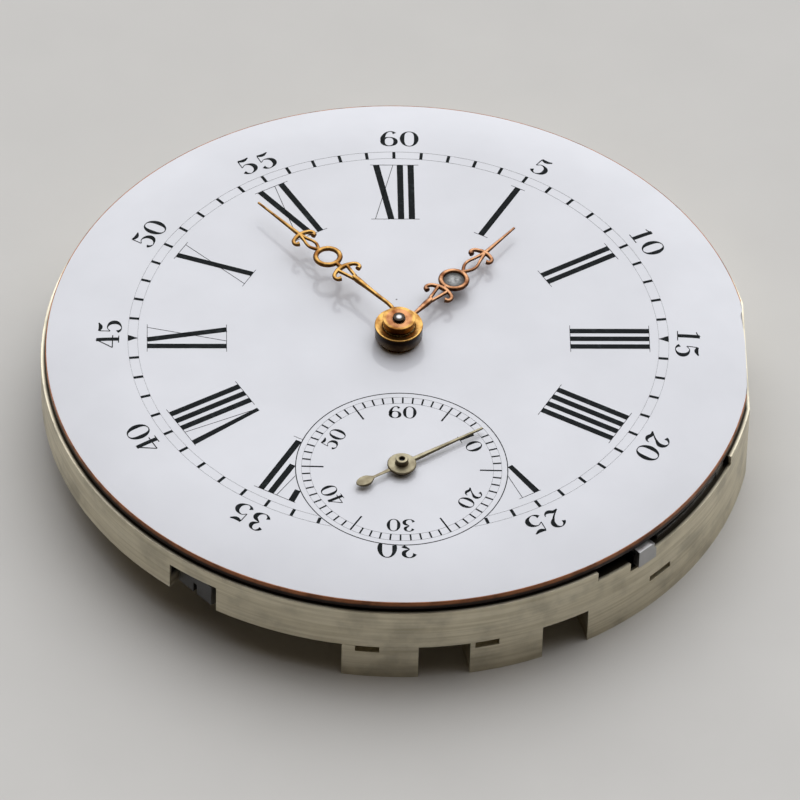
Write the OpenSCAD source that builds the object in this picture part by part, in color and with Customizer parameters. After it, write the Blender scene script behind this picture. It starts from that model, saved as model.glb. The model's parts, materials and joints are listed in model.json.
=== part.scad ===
// Hunter pocket watch movement with an enamel dial: +X is 3 o'clock, +Y is 12 o'clock, +Z is the dial side.
// The origin lies on the centre axis, at the height of the bridge faces that the movement rests on.

/* [Plate] */
// Diameter of the main plate
plate_d = 42.86; // [42.4:0.02:45]
// Thickness of the main plate
plate_t = 2.85; // [2.75:0.05:3.3]
// Depth of the flat at 3 o'clock
flat_cut = 0.48; // [0.3:0.02:0.7]
// Height of the raised ring that the dial sits on
seat_h = 0.12; // [0.08:0.02:0.3]
// Distance of the dial seat ring in from the rim
seat_inset = 1.13; // [0.9:0.01:1.6]
// Width of the dial seat ring
seat_w = 1.4; // [1:0.1:2]

/* [Bridges] */
// Height of the bridges under the plate
bridge_h = 2.5; // [2.45:0.05:2.8]
// Thickness of the bridge plates
bridge_t = 1.2; // [1.15:0.05:1.25]
// Height of the pry slots at the rim
slot_h = 0.45; // [0.3:0.05:0.6]
// Radial depth of the pry slots
slot_deep = 0.8; // [0.5:0.1:1.2]
// Radius of the bridge screw heads
screw_head_r = 1.1; // [0.9:0.05:1.3]
// Radius of the bridge screw shanks
screw_r = 0.55; // [0.4:0.05:0.65]

/* [Dial] */
// Distance of the dial's rim in from the rim of the plate
dial_inset = 0.28; // [0.1:0.02:0.6]
// Distance of the dial's flat in from the flat of the plate
dial_flat_inset = 0.2; // [0.1:0.05:0.5]
// Width of the rim of the dial that falls away
dial_fall_w = 4.46; // [3:0.02:6]
// Height of the dial face above the plate
dial_rise = 1.42; // [1.3:0.02:1.7]
// Fall of the enamel from the face to the rim
dial_fall = 0.75; // [0.5:0.05:0.85]
// Thickness of the enamel
enamel_t = 0.33; // [0.2:0.01:0.4]
// Thickness of the copper base
copper_t = 0.42; // [0.3:0.02:0.5]
// Width of the copper lip round the enamel
lip_w = 0.09; // [0.05:0.01:0.2]
// Radius of the dial feet
foot_r = 0.45; // [0.35:0.05:0.6]
// Distance of the dial feet in from the rim of the plate
foot_inset = 2.03; // [1.8:0.01:2.2]

/* [Hands] */
// Length of the hour hand
hour_len = 11.2; // [9:0.1:13]
// Clock angle of the hour hand
hour_at = 40.5; // [0:0.5:360]
// Length of the minute hand
minute_len = 13.1; // [11:0.1:15]
// Clock angle of the minute hand
minute_at = 323; // [0:0.5:360]
// Length of the seconds hand
seconds_len = 5.6; // [4.5:0.1:6]
// Clock angle of the seconds hand
seconds_at = 58; // [0:0.5:360]
// Thickness of the hand blades
hand_t = 0.22; // [0.15:0.01:0.3]

/* [Going train] */
// Teeth on the barrel
barrel_n = 80; // [78:1:82]
// Module of the barrel mesh
barrel_m = 0.22; // [0.218:0.001:0.222]
// Direction of the barrel from the centre
barrel_dir = 62; // [58:0.5:66]
// Leaves on the centre pinion
centre_pinion_n = 10; // [9:1:10]
// Teeth on the centre wheel
centre_n = 64; // [63:1:65]
// Module of the centre mesh
centre_m = 0.2; // [0.198:0.001:0.202]
// Leaves on the third pinion
third_pinion_n = 8; // [7:1:8]
// Teeth on the third wheel
third_n = 60; // [59:1:61]
// Module of the third mesh
third_m = 0.175; // [0.174:0.001:0.176]
// Leaves on the fourth pinion
fourth_pinion_n = 8; // [7:1:8]
// Teeth on the fourth wheel
fourth_n = 70; // [69:1:71]
// Module of the fourth mesh
fourth_m = 0.135; // [0.134:0.001:0.136]
// Leaves on the escape pinion
escape_pinion_n = 7; // [6:1:7]
// Distance of the seconds axis below the centre
seconds_y = 10.9; // [10.8:0.05:11]
// Direction of the escape wheel from the seconds axis
escape_dir = 200; // [198:0.5:202]
// Teeth on the escape wheel
escape_n = 15; // [13:1:16]
// Tip radius of the escape wheel
escape_r = 3.75; // [3.6:0.05:3.8]
// Thickness of the train wheels
wheel_t = 0.25; // [0.2:0.01:0.27]
// Axial gap between wheels that pass each other
pass_gap = 0.15; // [0.12:0.01:0.17]
// Radial clearance of a running pivot
pivot_gap = 0.03; // [0.02:0.005:0.04]
// Radial clearance of a pressed or friction fit
press_gap = 0.01; // [0.005:0.001:0.015]

/* [Barrel and winding] */
// Height of the barrel
barrel_h = 2; // [1.9:0.05:2.05]
// Wall of the barrel drum
barrel_wall = 0.5; // [0.4:0.05:0.7]
// Turns of the mainspring
mainspring_turns = 7; // [4:1:7]
// Thickness of the mainspring
mainspring_t = 0.24; // [0.16:0.02:0.28]
// Teeth on the ratchet wheel
ratchet_n = 54; // [52:1:56]
// Teeth on the crown wheel
crown_n = 42; // [40:1:43]
// Distance of the crown wheel from the centre
crown_x = 12; // [11.9:0.05:12.1]
// Thickness of the ratchet wheel
ratchet_t = 0.5; // [0.4:0.02:0.55]
// Thickness of the crown wheel
crown_t = 0.62; // [0.58:0.02:0.66]
// Leaves on the winding pinion
winding_n = 16; // [15:1:17]
// Radius of the winding stem bore
stem_bore_r = 0.8; // [0.6:0.05:0.9]

/* [Motion work and setting] */
// Leaves on the cannon pinion
cannon_n = 12; // [11:1:12]
// Teeth on the minute wheel
minute_n = 36; // [35:1:36]
// Module of the cannon mesh
cannon_m = 0.15; // [0.149:0.001:0.151]
// Leaves on the minute pinion
minute_pinion_n = 10; // [9:1:10]
// Teeth on the hour wheel
hour_n = 40; // [39:1:41]
// Teeth on the setting wheel
setting_n = 40; // [40:1:41]
// Distance of the setting wheel from the centre
setting_x = 9; // [8.8:0.05:9.05]
// Floor of the setting recess below the top of the plate
key_deep = 0.64; // [0.6:0.02:0.7]
// Inward travel of the sliding pinion
slide_travel = 1; // [0.8:0.05:1.1]

/* [Balance] */
// Balance axis, across
balance_x = -11.2; // [-11.4:0.05:-11]
// Balance axis, up
balance_y = -4.6; // [-4.8:0.05:-4.4]
// Outer radius of the balance rim
balance_r = 7.8; // [7.5:0.05:7.9]
// Width of the balance rim
balance_rim_w = 0.65; // [0.5:0.05:0.7]
// Height of the balance rim
balance_rim_h = 0.65; // [0.5:0.05:0.65]
// Number of balance screws
balance_screw_n = 16; // [12:2:20]
// Turns of the hairspring
hairspring_turns = 6; // [4:1:6]
// Thickness of the hairspring
hairspring_t = 0.1; // [0.06:0.01:0.12]

/* [Hidden] */
$fn = 96;
eps = 0.05;
far = 60;

nickel = "#b5ae98";
steel = "#8f9299";
blued = "#2b3245";
gilt = "#c98b55";
brass = "#c9a85a";
copper = "#8a4a2c";
enamel = "#e2e4ec";
ruby = "#b3204a";

function polar(r, a) = [r * cos(a), r * sin(a)];
function dir(p, q) = atan2(q[1] - p[1], q[0] - p[0]);
function reach(p, q, d) = p + d * (q - p) / norm(q - p);
function frac(x) = x - floor(x);
function back(list) = [for (i = [len(list) - 1:-1:0]) list[i]];
// Point at distance ra from a and rb from b, on the left of the line from a to b
function meet(a, b, ra, rb) =
    let (d = norm(b - a), c = (d * d + ra * ra - rb * rb) / (2 * d), h = sqrt(ra * ra - c * c))
    a + c * (b - a) / d + h * [a[1] - b[1], b[0] - a[0]] / d;
// Turn of a gear of n2 teeth so that it meshes with one of n1 teeth turned by turn1
function mesh(line, n1, turn1, n2) = line + 180 + (frac((line - turn1) * n1 / 360) + 0.5) * 360 / n2;

// Clearances: round a wheel in the plate, round a wheel in a bridge, above or below a moving piece,
// at the end of an arbor, round a piece that is dropped in, and between facing stones
wheel_room = 0.25;
edge_room = 0.15;
axial_gap = 0.1;
end_shake = 0.05;
loose_gap = 0.06;
stone_gap = 0.01;
skin = 0.03;

// Levels
plate_r = plate_d / 2;
flat_x = plate_r - flat_cut;
plate_z = bridge_h;
plate_top = plate_z + plate_t;
seat_z = plate_top + seat_h;
seat_out_r = plate_r - seat_inset;
seat_in_r = seat_out_r - seat_w;
face_z = plate_top + dial_rise;
dial_under = face_z - enamel_t - copper_t;
barrel_sink = 0.95;
barrel_top = plate_z + barrel_sink;
barrel_low = barrel_top - barrel_h;
barrel_teeth_h = 0.5;
barrel_teeth_z = barrel_top - axial_gap - barrel_teeth_h;
leaf_over = 0.1;
third_sink = 0.4;
fourth_drop = 0.35;
centre_wheel_z = barrel_top + pass_gap;
third_wheel_z = plate_z + third_sink;
fourth_wheel_z = third_wheel_z - fourth_drop - wheel_t;
escape_wheel_z = fourth_wheel_z - pass_gap - wheel_t;
fork_t = 0.35;
fork_z = escape_wheel_z + wheel_t / 2 - fork_t / 2;
stem_z = plate_z;
key_z = plate_top - key_deep;
ratchet_z = 0.12;

// Axes
centre = [0, 0];
barrel_a = barrel_m * (barrel_n + centre_pinion_n) / 2;
barrel_at = polar(barrel_a, barrel_dir);
seconds_axis = [0, -seconds_y];
third_a = centre_m * (centre_n + third_pinion_n) / 2;
fourth_a = third_m * (third_n + fourth_pinion_n) / 2;
third_at = meet(centre, seconds_axis, third_a, fourth_a);
escape_a = fourth_m * (fourth_n + escape_pinion_n) / 2;
escape_at = seconds_axis + polar(escape_a, escape_dir);
balance_at = [balance_x, balance_y];
pallet_a = escape_r / cos(30);
pallet_at = reach(escape_at, balance_at, pallet_a);
lever_dir = dir(escape_at, balance_at);
crown_at = [crown_x, 0];
winding_m = 2 * norm(crown_at - barrel_at) / (ratchet_n + crown_n);
cannon_a = cannon_m * (cannon_n + minute_n) / 2;
hour_m = 2 * cannon_a / (hour_n + minute_pinion_n);
setting_at = [setting_x, 0];
setting_a = cannon_m * (minute_n + setting_n) / 2;
minute_axis = meet(setting_at, centre, setting_a, cannon_a);

// Turns of the wheels, so that each tooth faces a gap
barrel_turn = dir(barrel_at, centre);
centre_pinion_turn = mesh(dir(barrel_at, centre), barrel_n, barrel_turn, centre_pinion_n);
centre_turn = dir(centre, third_at);
third_pinion_turn = mesh(dir(centre, third_at), centre_n, centre_turn, third_pinion_n);
third_turn = dir(third_at, seconds_axis);
fourth_pinion_turn = mesh(dir(third_at, seconds_axis), third_n, third_turn, fourth_pinion_n);
fourth_turn = dir(seconds_axis, escape_at);
escape_pinion_turn = mesh(dir(seconds_axis, escape_at), fourth_n, fourth_turn, escape_pinion_n);
minute_turn = dir(minute_axis, centre);
cannon_turn = mesh(dir(minute_axis, centre), minute_n, minute_turn, cannon_n);
setting_turn = mesh(dir(minute_axis, setting_at), minute_n, minute_turn, setting_n);
hour_turn = dir(centre, minute_axis);
minute_pinion_turn = mesh(dir(centre, minute_axis), hour_n, hour_turn, minute_pinion_n);
crown_turn = 180 / crown_n;
ratchet_turn = mesh(dir(crown_at, barrel_at), crown_n, crown_turn, ratchet_n);

// Tooth forms: half widths as a share of the pitch at root, pitch line and tip, then addendum and dedendum
wheel_form = [0.23, 0.2, 0.05, 1.15, 1.25];
leaf_form = [0.13, 0.17, 0.07, 0.75, 1.55];
function tip_r(n, m, form) = m * (n / 2 + form[3]);
function root_r(n, m, form) = m * (n / 2 - form[4]);

// Wheels
barrel_tip = tip_r(barrel_n, barrel_m, wheel_form);
drum_r = root_r(barrel_n, barrel_m, wheel_form);
centre_tip = tip_r(centre_n, centre_m, wheel_form);
third_tip = tip_r(third_n, third_m, wheel_form);
fourth_tip = tip_r(fourth_n, fourth_m, wheel_form);
ratchet_tip = tip_r(ratchet_n, winding_m, wheel_form);
crown_tip = tip_r(crown_n, winding_m, wheel_form);
minute_tip = tip_r(minute_n, cannon_m, wheel_form);
setting_tip = tip_r(setting_n, cannon_m, wheel_form);
cannon_tip = tip_r(cannon_n, cannon_m, leaf_form);
third_leaf_tip = tip_r(third_pinion_n, centre_m, leaf_form);
fourth_leaf_tip = tip_r(fourth_pinion_n, third_m, leaf_form);
escape_leaf_tip = tip_r(escape_pinion_n, fourth_m, leaf_form);
setting_low_n = 24;
setting_low_tip = tip_r(setting_low_n, cannon_m, wheel_form);
arm_half = 14;
// Hub radius, rim width and number of arms
centre_arms = [1.5, 0.7, 5];
third_arms = [1.1, 0.55, 4];
fourth_arms = [1, 0.5, 4];
escape_hub_r = 0.85;
escape_open_r = escape_r - 1.3;
escape_arms = 4;
escape_arm_half = 16;
club_deep = 0.95;

// Arbors, pivots and jewels
centre_arbor_r = 0.55;
centre_bush_r = 0.5;
centre_low_r = 0.3;
centre_tip_r = 0.355;
cannon_r = 0.55;
train_arbor_r = 0.32;
pivot_r = 0.15;
fine_pivot_r = 0.12;
staff_r = 0.45;
pallet_arbor_r = 0.315;
post_r = 0.3;
jewel_r = 0.7;
jewel_t = 0.4;
fine_jewel_r = 0.55;
plate_jewel_t = 0.3;
cock_jewel_t = 0.25;
endstone_t = 0.28;
oil_r = 0.3;
low_oil_r = 0.25;
fine_oil_r = 0.22;
low_jewel_z = 0.6;
arbor_low_z = low_jewel_z + jewel_t + end_shake;
third_jewel_z = centre_wheel_z + wheel_t + leaf_over + edge_room;
fourth_jewel_z = third_wheel_z + wheel_t + leaf_over + edge_room;
escape_jewel_z = fourth_wheel_z + wheel_t + leaf_over + edge_room;
lower_stone_z = plate_z + plate_jewel_t + stone_gap;

// Barrel and winding
arbor_pivot_r = 1.2;
arbor_top_r = 1;
arbor_core_r = 2;
arbor_square = 1.7;
arbor_hole_top = plate_top - 0.4;
cover_t = 0.2;
drum_base_t = 0.25;
drum_floor = barrel_low + cover_t;
drum_roof = barrel_top - drum_base_t;
ratchet_screw_r = 0.45;
ratchet_screw_head_r = 1.5;
ratchet_screw_len = 1.1;
core_r = 1.6;
core_lip = 0.7;
core_z = ratchet_z + crown_t + axial_gap;
crown_screw_r = 0.5;
crown_screw_head_r = 0.95;
crown_screw_sink = 0.4;
contrate_w = 0.44;
contrate_deep = 1.1;
winding_dip = 0.2;
winding_tip = stem_z - ratchet_z - crown_t + winding_dip;
winding_x = crown_x + crown_tip - 1;
winding_len = 1.35;
winding_face = 0.2;
winding_leaf_h = 0.45;
winding_collar_r = stem_bore_r + 0.35;
winding_room = 0.12;
lug_w = 2 * (stem_bore_r + 0.9);
lug_low = stem_z - stem_bore_r - 0.45;
lug_in_x = winding_x + winding_len + 1.2;

// Sliding pinion, with ratchet teeth on both faces
sliding_r = stem_z - bridge_t - loose_gap;
stem_step = 0.3;
sliding_bore = stem_bore_r - stem_step;
sliding_out_x = winding_x - 0.15;
sliding_in_x = setting_x + setting_low_tip + slide_travel + loose_gap;
face_teeth = 8;
face_tooth_in = 0.35;
face_tooth_w = 0.3;
face_tooth_deep = 0.2;
groove_x = 14.1;
groove_w = 0.6;
groove_r = sliding_bore + 0.15;

// Setting work
setting_low_z = stem_z + sliding_r + 0.18;
setting_hub_r = 0.8;
setting_low_t = 0.25;
motion_z = plate_top - 0.3;
motion_t = 0.2;
motion_floor = motion_z - 0.07;
cannon_floor = plate_top - 0.4;
cannon_z = cannon_floor + loose_gap;
nib_dir = -48;
nib_in = 1;
nib_root = polar(plate_r - nib_in, nib_dir);
key_in_r = plate_r - 6.03;
key_angles = [-57.7, -23.4];
lever_z = key_z + 0.04;
lever_t = 0.42;
lever_top = lever_z + lever_t;
lever_w = 1.3;
lever_hub_r = 0.845;
lever_from_nib = [3.83, 9.68];
lever_at = nib_root + lever_from_nib;
lever_slot_len = 7;
lever_slot_w = 3.5;
finger_from = nib_root + [2.73, 6.58];
finger_to = nib_root + [0.88, 6.58];
finger_w = 0.8;
nib_w = 1.4;
nib_out = 0.15;
nib_lip = 0.35;
nib_low = plate_top - 1.2;
nib_shoulder = key_z + 0.2;
nib_top = seat_z - loose_gap;
nib_top_w = 1.05;
nib_slot_deep = 1.3;
nib_sway = 0.5;
// Outline of the nib's face: along the rim, and up
nib_face = [
    [0, nib_low], [nib_w, nib_low], [nib_w, nib_shoulder], [nib_top_w, nib_top], [0, nib_top]
];
yoke_at = nib_root + [-1.07, 3.68];
yoke_tip = [groove_x + groove_w / 2, 0];
yoke_w = 1.1;
yoke_hub_r = 1;
yoke_end = 0.4;
yoke_slot_end = [-0.55, 1];
yoke_slot_w = 3.7;
yoke_hub_room = 2.2;
tongue_l = 1;
tongue_gap = 0.12;
tongue_slot_l = 1.8;
// Inner and outer radius and the two plan angles of each spring's strip and end block
yoke_strip = [plate_r - 2.83, plate_r - 2.58, -55.5, -50];
yoke_block = [plate_r - 3.53, plate_r - 2.48, -57, -55.3];
setting_strip = [plate_r - 0.75, plate_r - 0.45, -44.2, -26.8];
setting_block = [plate_r - 1.9, plate_r - 0.4, -27, -24.2];
block_over = 0.05;
strip_h = 0.2;

// Click
click_dir = 150;
click_lead = 22;
click_gap = 0.08;
click_at = barrel_at + polar(ratchet_tip + 1.6, click_dir);
click_beak = barrel_at + polar(ratchet_tip + click_gap, click_dir + click_lead);
click_t = 0.4;
click_hub_r = 1;
click_w = 0.7;
click_slot_w = 3.2;
click_spring_tip = click_at + polar(1.6, click_dir);
click_spring_root = click_spring_tip + polar(2.4, click_dir - 75);
click_spring_w = 0.22;
click_spring_root_r = 0.5;
click_spring_slot_w = 1.2;

// Hands
hour_pipe_r = 0.95;
hour_bore = cannon_r + 0.05;
hour_wheel_t = 0.2;
hour_hand_z = face_z + 0.26;
hour_boss_r = 1.45;
hour_boss_h = 0.93;
hour_blade_z = hour_hand_z + 0.45;
minute_hand_z = hour_hand_z + hour_boss_h + loose_gap;
minute_boss_r = 0.98;
minute_boss_h = 0.49;
minute_blade_z = minute_hand_z + 0.1;
// Place, outer radius and hole of each blade's ring, and the width of its stem
hour_ring = [5.4, 0.95, 0.65, 0.5];
minute_ring = [6.9, 0.84, 0.56, 0.42];
blade_start = 0.5;
blade_flare = 0.7;
point_w = 0.1;
horn_r = 0.42;
horn_hole = 0.24;
horn_step = 1.7;
seconds_hand_z = face_z + 0.3;
seconds_t = 0.14;
seconds_pipe_r = 0.38;
seconds_pipe_low = face_z - 0.2;
seconds_pipe_h = 0.55;
seconds_boss_r = 0.86;
seconds_boss_t = 0.16;
seconds_w = 0.4;
seconds_tip_w = 0.12;
tail_w = 0.28;
tail_len = 2.8;
tail_r = 0.45;
tail_lap = 0.3;

// Bridges: plan angles of their feet at the rim, and of the pry slots
third_foot = [-79.4, -67.4];
fourth_foot = [-99.7, -87.6];
barrel_foot = [-59.3, 108];
balance_foot = [126, 152];
slots = [[-97.6, -93.8], [-78.6, -74.7], [-46.8, -42]];
third_foot_mid = (third_foot[0] + third_foot[1]) / 2;
fourth_foot_mid = (fourth_foot[0] + fourth_foot[1]) / 2;
third_foot_deep = 5;
fourth_foot_deep = 4.4;
balance_foot_deep = 5.6;
bridge_in_r = 11.5;
barrel_window = 0.4;
arm_in = 3;
third_boss_r = 1.75;
third_cock_w = 3.2;
fourth_boss_r = 1.7;
fourth_cock_w = 2.9;
escape_boss_r = 1.45;
escape_cock_w = 2.4;
escape_cock_dir = fourth_foot[0] + 2.5;
bridge_nose = [8.6, -10];
barrel_bridge_outline = [
    reach(bridge_nose, polar(plate_r, barrel_foot[0]), far), polar(far, -20), polar(far, 25),
    polar(far, 70), polar(far, barrel_foot[1]),
    [-4.6, 9.5], [-2.7, 3.2], [-2.7, -1.8], [-0.8, -2.9], [4.5, -2.7], [6.9, -4.6], bridge_nose
];
pallet_bridge_t = 0.45;
pallet_bridge_z = fork_z - axial_gap - pallet_bridge_t;
pallet_jewel_z = pallet_bridge_z + 0.1;
pallet_boss_r = 1;
pallet_bridge_w = 1.2;
pallet_foot_r = 0.75;
function beside_lever(along, across) =
    pallet_at + polar(along, lever_dir) + polar(across, lever_dir + 90);
function pallet_foot(side) = beside_lever(1.2, 2.3 * side);

// Screws
cock_dir = 139;
screw_places = [
    polar(plate_r - 2.5, -45), polar(plate_r - 2.8, 20), polar(plate_r - 2.9, 95),
    polar(plate_r - 2.5, third_foot_mid), polar(plate_r - 2.5, fourth_foot_mid),
    polar(plate_r - 2.9, cock_dir)
];
screw_sink = 0.7;
screw_head_z = 0.15;
screw_bite = 1.7;
screw_slot_w = 0.3;
crown_slot_w = 0.26;
notches = [-125.25, 116.5];
notch_w = 8.9;
notch_h = 1.88;
notch_in_r = plate_r - 2.85;
case_screw_pos_r = plate_r - 1;
case_screw_r = 0.5;
case_screw_head_r = 1.48;
case_screw_head_t = 1.5;
case_screw_flat = 0.55;
case_screw_top = plate_top - 0.35;
case_screw_turn = -12;

// Dial
dial_r = plate_r - dial_inset;
dial_flat_x = flat_x - dial_flat_inset;
glaze_r = dial_r - lip_w;
fall_run = dial_fall_w;
dial_crown_r = glaze_r - dial_fall_w;
fall_arc_r = (fall_run * fall_run + dial_fall * dial_fall) / (2 * dial_fall);
fall_steps = 8;
// Fall of the dial's top face below its crown, at radius r
function fall(r) = fall_arc_r - sqrt(fall_arc_r * fall_arc_r - (r - dial_crown_r) * (r - dial_crown_r));
function fall_points(z) =
    [for (i = [0:fall_steps]) let (r = dial_crown_r + fall_run * i / fall_steps) [r, z - fall(r)]];
dial_hole_r = hour_pipe_r + 0.25;
seconds_hole_r = 0.6;
hollow_r = dial_crown_r + 0.6;
hollow_slope = 1;
foot_angles = [15, 165];
foot_pos_r = plate_r - foot_inset;
foot_len = 1.65;
foot_gap = 0.05;
foot_screw_r = 0.45;
foot_screw_len = 1.3;
foot_screw_z = plate_top - 1.2;
foot_slot_w = 0.18;
foot_slot_deep = 0.2;

// Balance
rim_drop = 0.25;
rim_z = fork_z - rim_drop - balance_rim_h;
arm_z = rim_z + 0.05;
arm_t = 0.25;
arm_w = 0.9;
balance_hub_r = 1;
balance_arm_turn = 35;
balance_screw_r = 0.27;
balance_screw_len = 0.38;
cock_low = 0.28;
cock_t = 0.34;
cock_top = cock_low + cock_t;
cock_w = 3.4;
cock_end_r = 2.2;
cock_boss_r = 1.05;
cock_arm_in = 4;
cock_line = dir(balance_at, polar(plate_r * 0.8, cock_dir));
upper_stone_top = cock_top - cock_jewel_t - 2 * stone_gap;
roller_z = fork_z - 0.35;
roller_t = 0.18;
roller_r = 1.35;
impulse_r = 0.17;
impulse_pos = polar(1, lever_dir + 180);
impulse_top = fork_z - 0.05;

// Pallet lever
pallet_hub_r = 0.5;
pallet_arm_w = 0.7;
function pallet_arm(side) = beside_lever(-0.4, 2.5 * side);
function stone_at(side) = beside_lever(-0.4, 2.2 * side);
stone_l = 0.65;
stone_w = 0.3;
stone_back = 0.35;
lever_bar_w = 0.5;
lever_bar_len = 4.3;
horn_w = 0.24;
fork_lap = 0.2;
fork_len = 0.85;
function fork_from(side) = beside_lever(lever_bar_len - fork_lap, 0.1 * side);
function fork_to(side) = beside_lever(lever_bar_len - fork_lap + fork_len, 0.42 * side);

// Springs wound as spirals, each an unbroken strip
function spiral(turns, r_in, r_out, t, steps) =
    let (n = turns * steps)
    concat(
        [for (i = [0:n]) polar(r_in + (r_out - r_in) * i / n - t / 2, 360 * i / steps)],
        [for (i = [n:-1:0]) polar(r_in + (r_out - r_in) * i / n + t / 2, 360 * i / steps)]
    );
spiral_steps = 24;
hairspring_in = 1;
hairspring_out = 4.2;
hairspring_h = 0.15;
hairspring_z = cock_top + 0.08;
hairspring_turn = cock_line - 3;
collet_r = hairspring_in - hairspring_t / 2 - 0.02;
collet_over = 0.02;
stud_at = balance_at + polar(hairspring_out + 0.25, cock_line);
stud_r = 0.22;
mainspring_in = arbor_core_r + 0.35;
mainspring_out = drum_r - barrel_wall - 0.35;
hairspring_gap = (hairspring_out - hairspring_in) / hairspring_turns - hairspring_t;
mainspring_gap = (mainspring_out - mainspring_in) / mainspring_turns - mainspring_t;
echo(hairspring_gap = hairspring_gap, mainspring_gap = mainspring_gap);

// Regulator
regulator_top = cock_low - skin;
regulator_r = 1.75;
index_len = 6.2;
index_w = 0.7;
index_turn = 4;
curb_w = 0.9;
curb_pin_r = 0.1;
curb_pin_off = 0.24;
// Radius of the outer coil half a turn before its end
curb_r = hairspring_out - 0.5 * (hairspring_out - hairspring_in) / hairspring_turns;

module disc(r, z0, z1) {
    translate([0, 0, z0])
        cylinder(r = r, h = z1 - z0);
}

module tube(r_out, r_in, z0, z1) {
    difference() {
        disc(r_out, z0, z1);
        disc(r_in, z0 - eps, z1 + eps);
    }
}

module at(p) {
    translate([p[0], p[1], 0])
        children();
}

module bar(p, q, w, z0, z1) {
    translate([p[0], p[1], z0])
        rotate(dir(p, q))
            translate([0, -w / 2, 0])
                cube([norm(q - p), w, z1 - z0]);
}

module link(p, q, w, z0, z1) {
    bar(p, q, w, z0, z1);
    at(p)
        disc(w / 2, z0, z1);
    at(q)
        disc(w / 2, z0, z1);
}

module sector(r0, r1, a0, a1, z0, z1) {
    rotate(a0)
        rotate_extrude(angle = a1 - a0)
            translate([r0, z0])
                square([r1 - r0, z1 - z0]);
}

// Block along X, centred on the stem's line in Y
module stem_block(x0, x1, w, z0, z1) {
    translate([x0, -w / 2, z0])
        cube([x1 - x0, w, z1 - z0]);
}

// Cylinder along the stem
module stem_disc(r, x0, x1) {
    translate([x0, 0, stem_z])
        rotate([0, 90, 0])
            cylinder(r = r, h = x1 - x0);
}

function tooth(n, m, form, c) =
    let (p = 360 / n, r = m * n / 2, mid = 0.35 * form[1] + 0.65 * form[2])
    [
        polar(r - form[4] * m, c - form[0] * p), polar(r, c - form[1] * p),
        polar(r + 0.6 * form[3] * m, c - mid * p), polar(r + form[3] * m, c - form[2] * p),
        polar(r + form[3] * m, c + form[2] * p), polar(r + 0.6 * form[3] * m, c + mid * p),
        polar(r, c + form[1] * p), polar(r - form[4] * m, c + form[0] * p)
    ];

module gear(n, m, form, turn, z0, z1) {
    translate([0, 0, z0])
        linear_extrude(z1 - z0)
            polygon([for (i = [0:n - 1]) each tooth(n, m, form, turn + 360 * i / n)]);
}

// Toothed wheel with a hub, a rim and tapered arms
module spoked_wheel(n, m, turn, z, arms) {
    open_r = root_r(n, m, wheel_form) - arms[1];
    step = 360 / arms[2];
    difference() {
        gear(n, m, wheel_form, turn, z, z + wheel_t);
        for (i = [0:arms[2] - 1])
            sector(arms[0], open_r, turn + step * i + arm_half, turn + step * (i + 1) - arm_half,
                z - eps, z + wheel_t + eps);
    }
}

// Arbor with a pivot at each end
module arbor(r, z0, z1, low_tip, high_tip, tip) {
    disc(r, z0, z1);
    disc(tip, low_tip, z0 + eps);
    disc(tip, z1 - eps, high_tip);
}

module slotted_head(r, z0, z1, slot_w) {
    difference() {
        disc(r, z0, z1);
        translate([-r - eps, -slot_w / 2, z0 - eps])
            cube([2 * (r + eps), slot_w, (z1 - z0) / 2 + eps]);
    }
}

module slot_cuts() {
    for (s = slots)
        sector(plate_r - slot_deep, far, s[0], s[1], plate_z - slot_h, plate_z + eps);
}

// Holes for the bridge screws, with room for their heads
module screw_cuts() {
    for (p = screw_places)
        at(p) {
            disc(screw_r + press_gap, -eps, plate_z + eps);
            disc(screw_head_r + loose_gap, -eps, screw_sink);
        }
}

// Seat for a jewel set from z0, with an oil hole right through
module jewel_seat(p, z0, r, t, oil) {
    at(p) {
        disc(r + press_gap, z0, z0 + t);
        disc(oil, z0 - far, z0 + far);
    }
}

module jewel(p, z0, r, t, pivot) {
    at(p)
        tube(r, pivot + pivot_gap, z0, z0 + t);
}

// Recess for a wheel, let in from the train side, and for the leaves of the pinion on it
module wheel_recess(p, tip, z) {
    at(p)
        disc(tip + wheel_room, plate_z - eps, z + wheel_t + pass_gap);
}

module leaf_recess(p, tip, z) {
    at(p)
        disc(tip + pass_gap, plate_z - eps, z);
}

// Room round the sliding and winding pinions, from z0 up to z1 above the stem
module pinion_room(z0, z1, winding_z0, winding_z1) {
    stem_block(sliding_in_x - slide_travel - axial_gap, winding_x + axial_gap,
        2 * (sliding_r + axial_gap), z0, z1);
    stem_block(winding_x - winding_room, lug_in_x, 2 * (winding_tip + winding_room), winding_z0, winding_z1);
}

// Recess for the setting lever and the yoke, open at the rim for the lever's nib
module key_recess() {
    sector(key_in_r, far, key_angles[0], key_angles[1], key_z, far);
    bar(yoke_at, yoke_tip + yoke_slot_end, yoke_slot_w, key_z, far);
    at(yoke_at)
        disc(yoke_hub_room, key_z, far);
    bar(lever_at, reach(lever_at, polar(plate_r, nib_dir), lever_slot_len), lever_slot_w, key_z, far);
    at(lever_at)
        disc(lever_w, key_z, far);
    rotate(nib_dir)
        translate([plate_r - nib_slot_deep, -nib_w / 2 - nib_sway, nib_low - axial_gap])
            cube([far, nib_w + nib_sway + edge_room, key_z - nib_low + 2 * axial_gap]);
}

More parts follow.
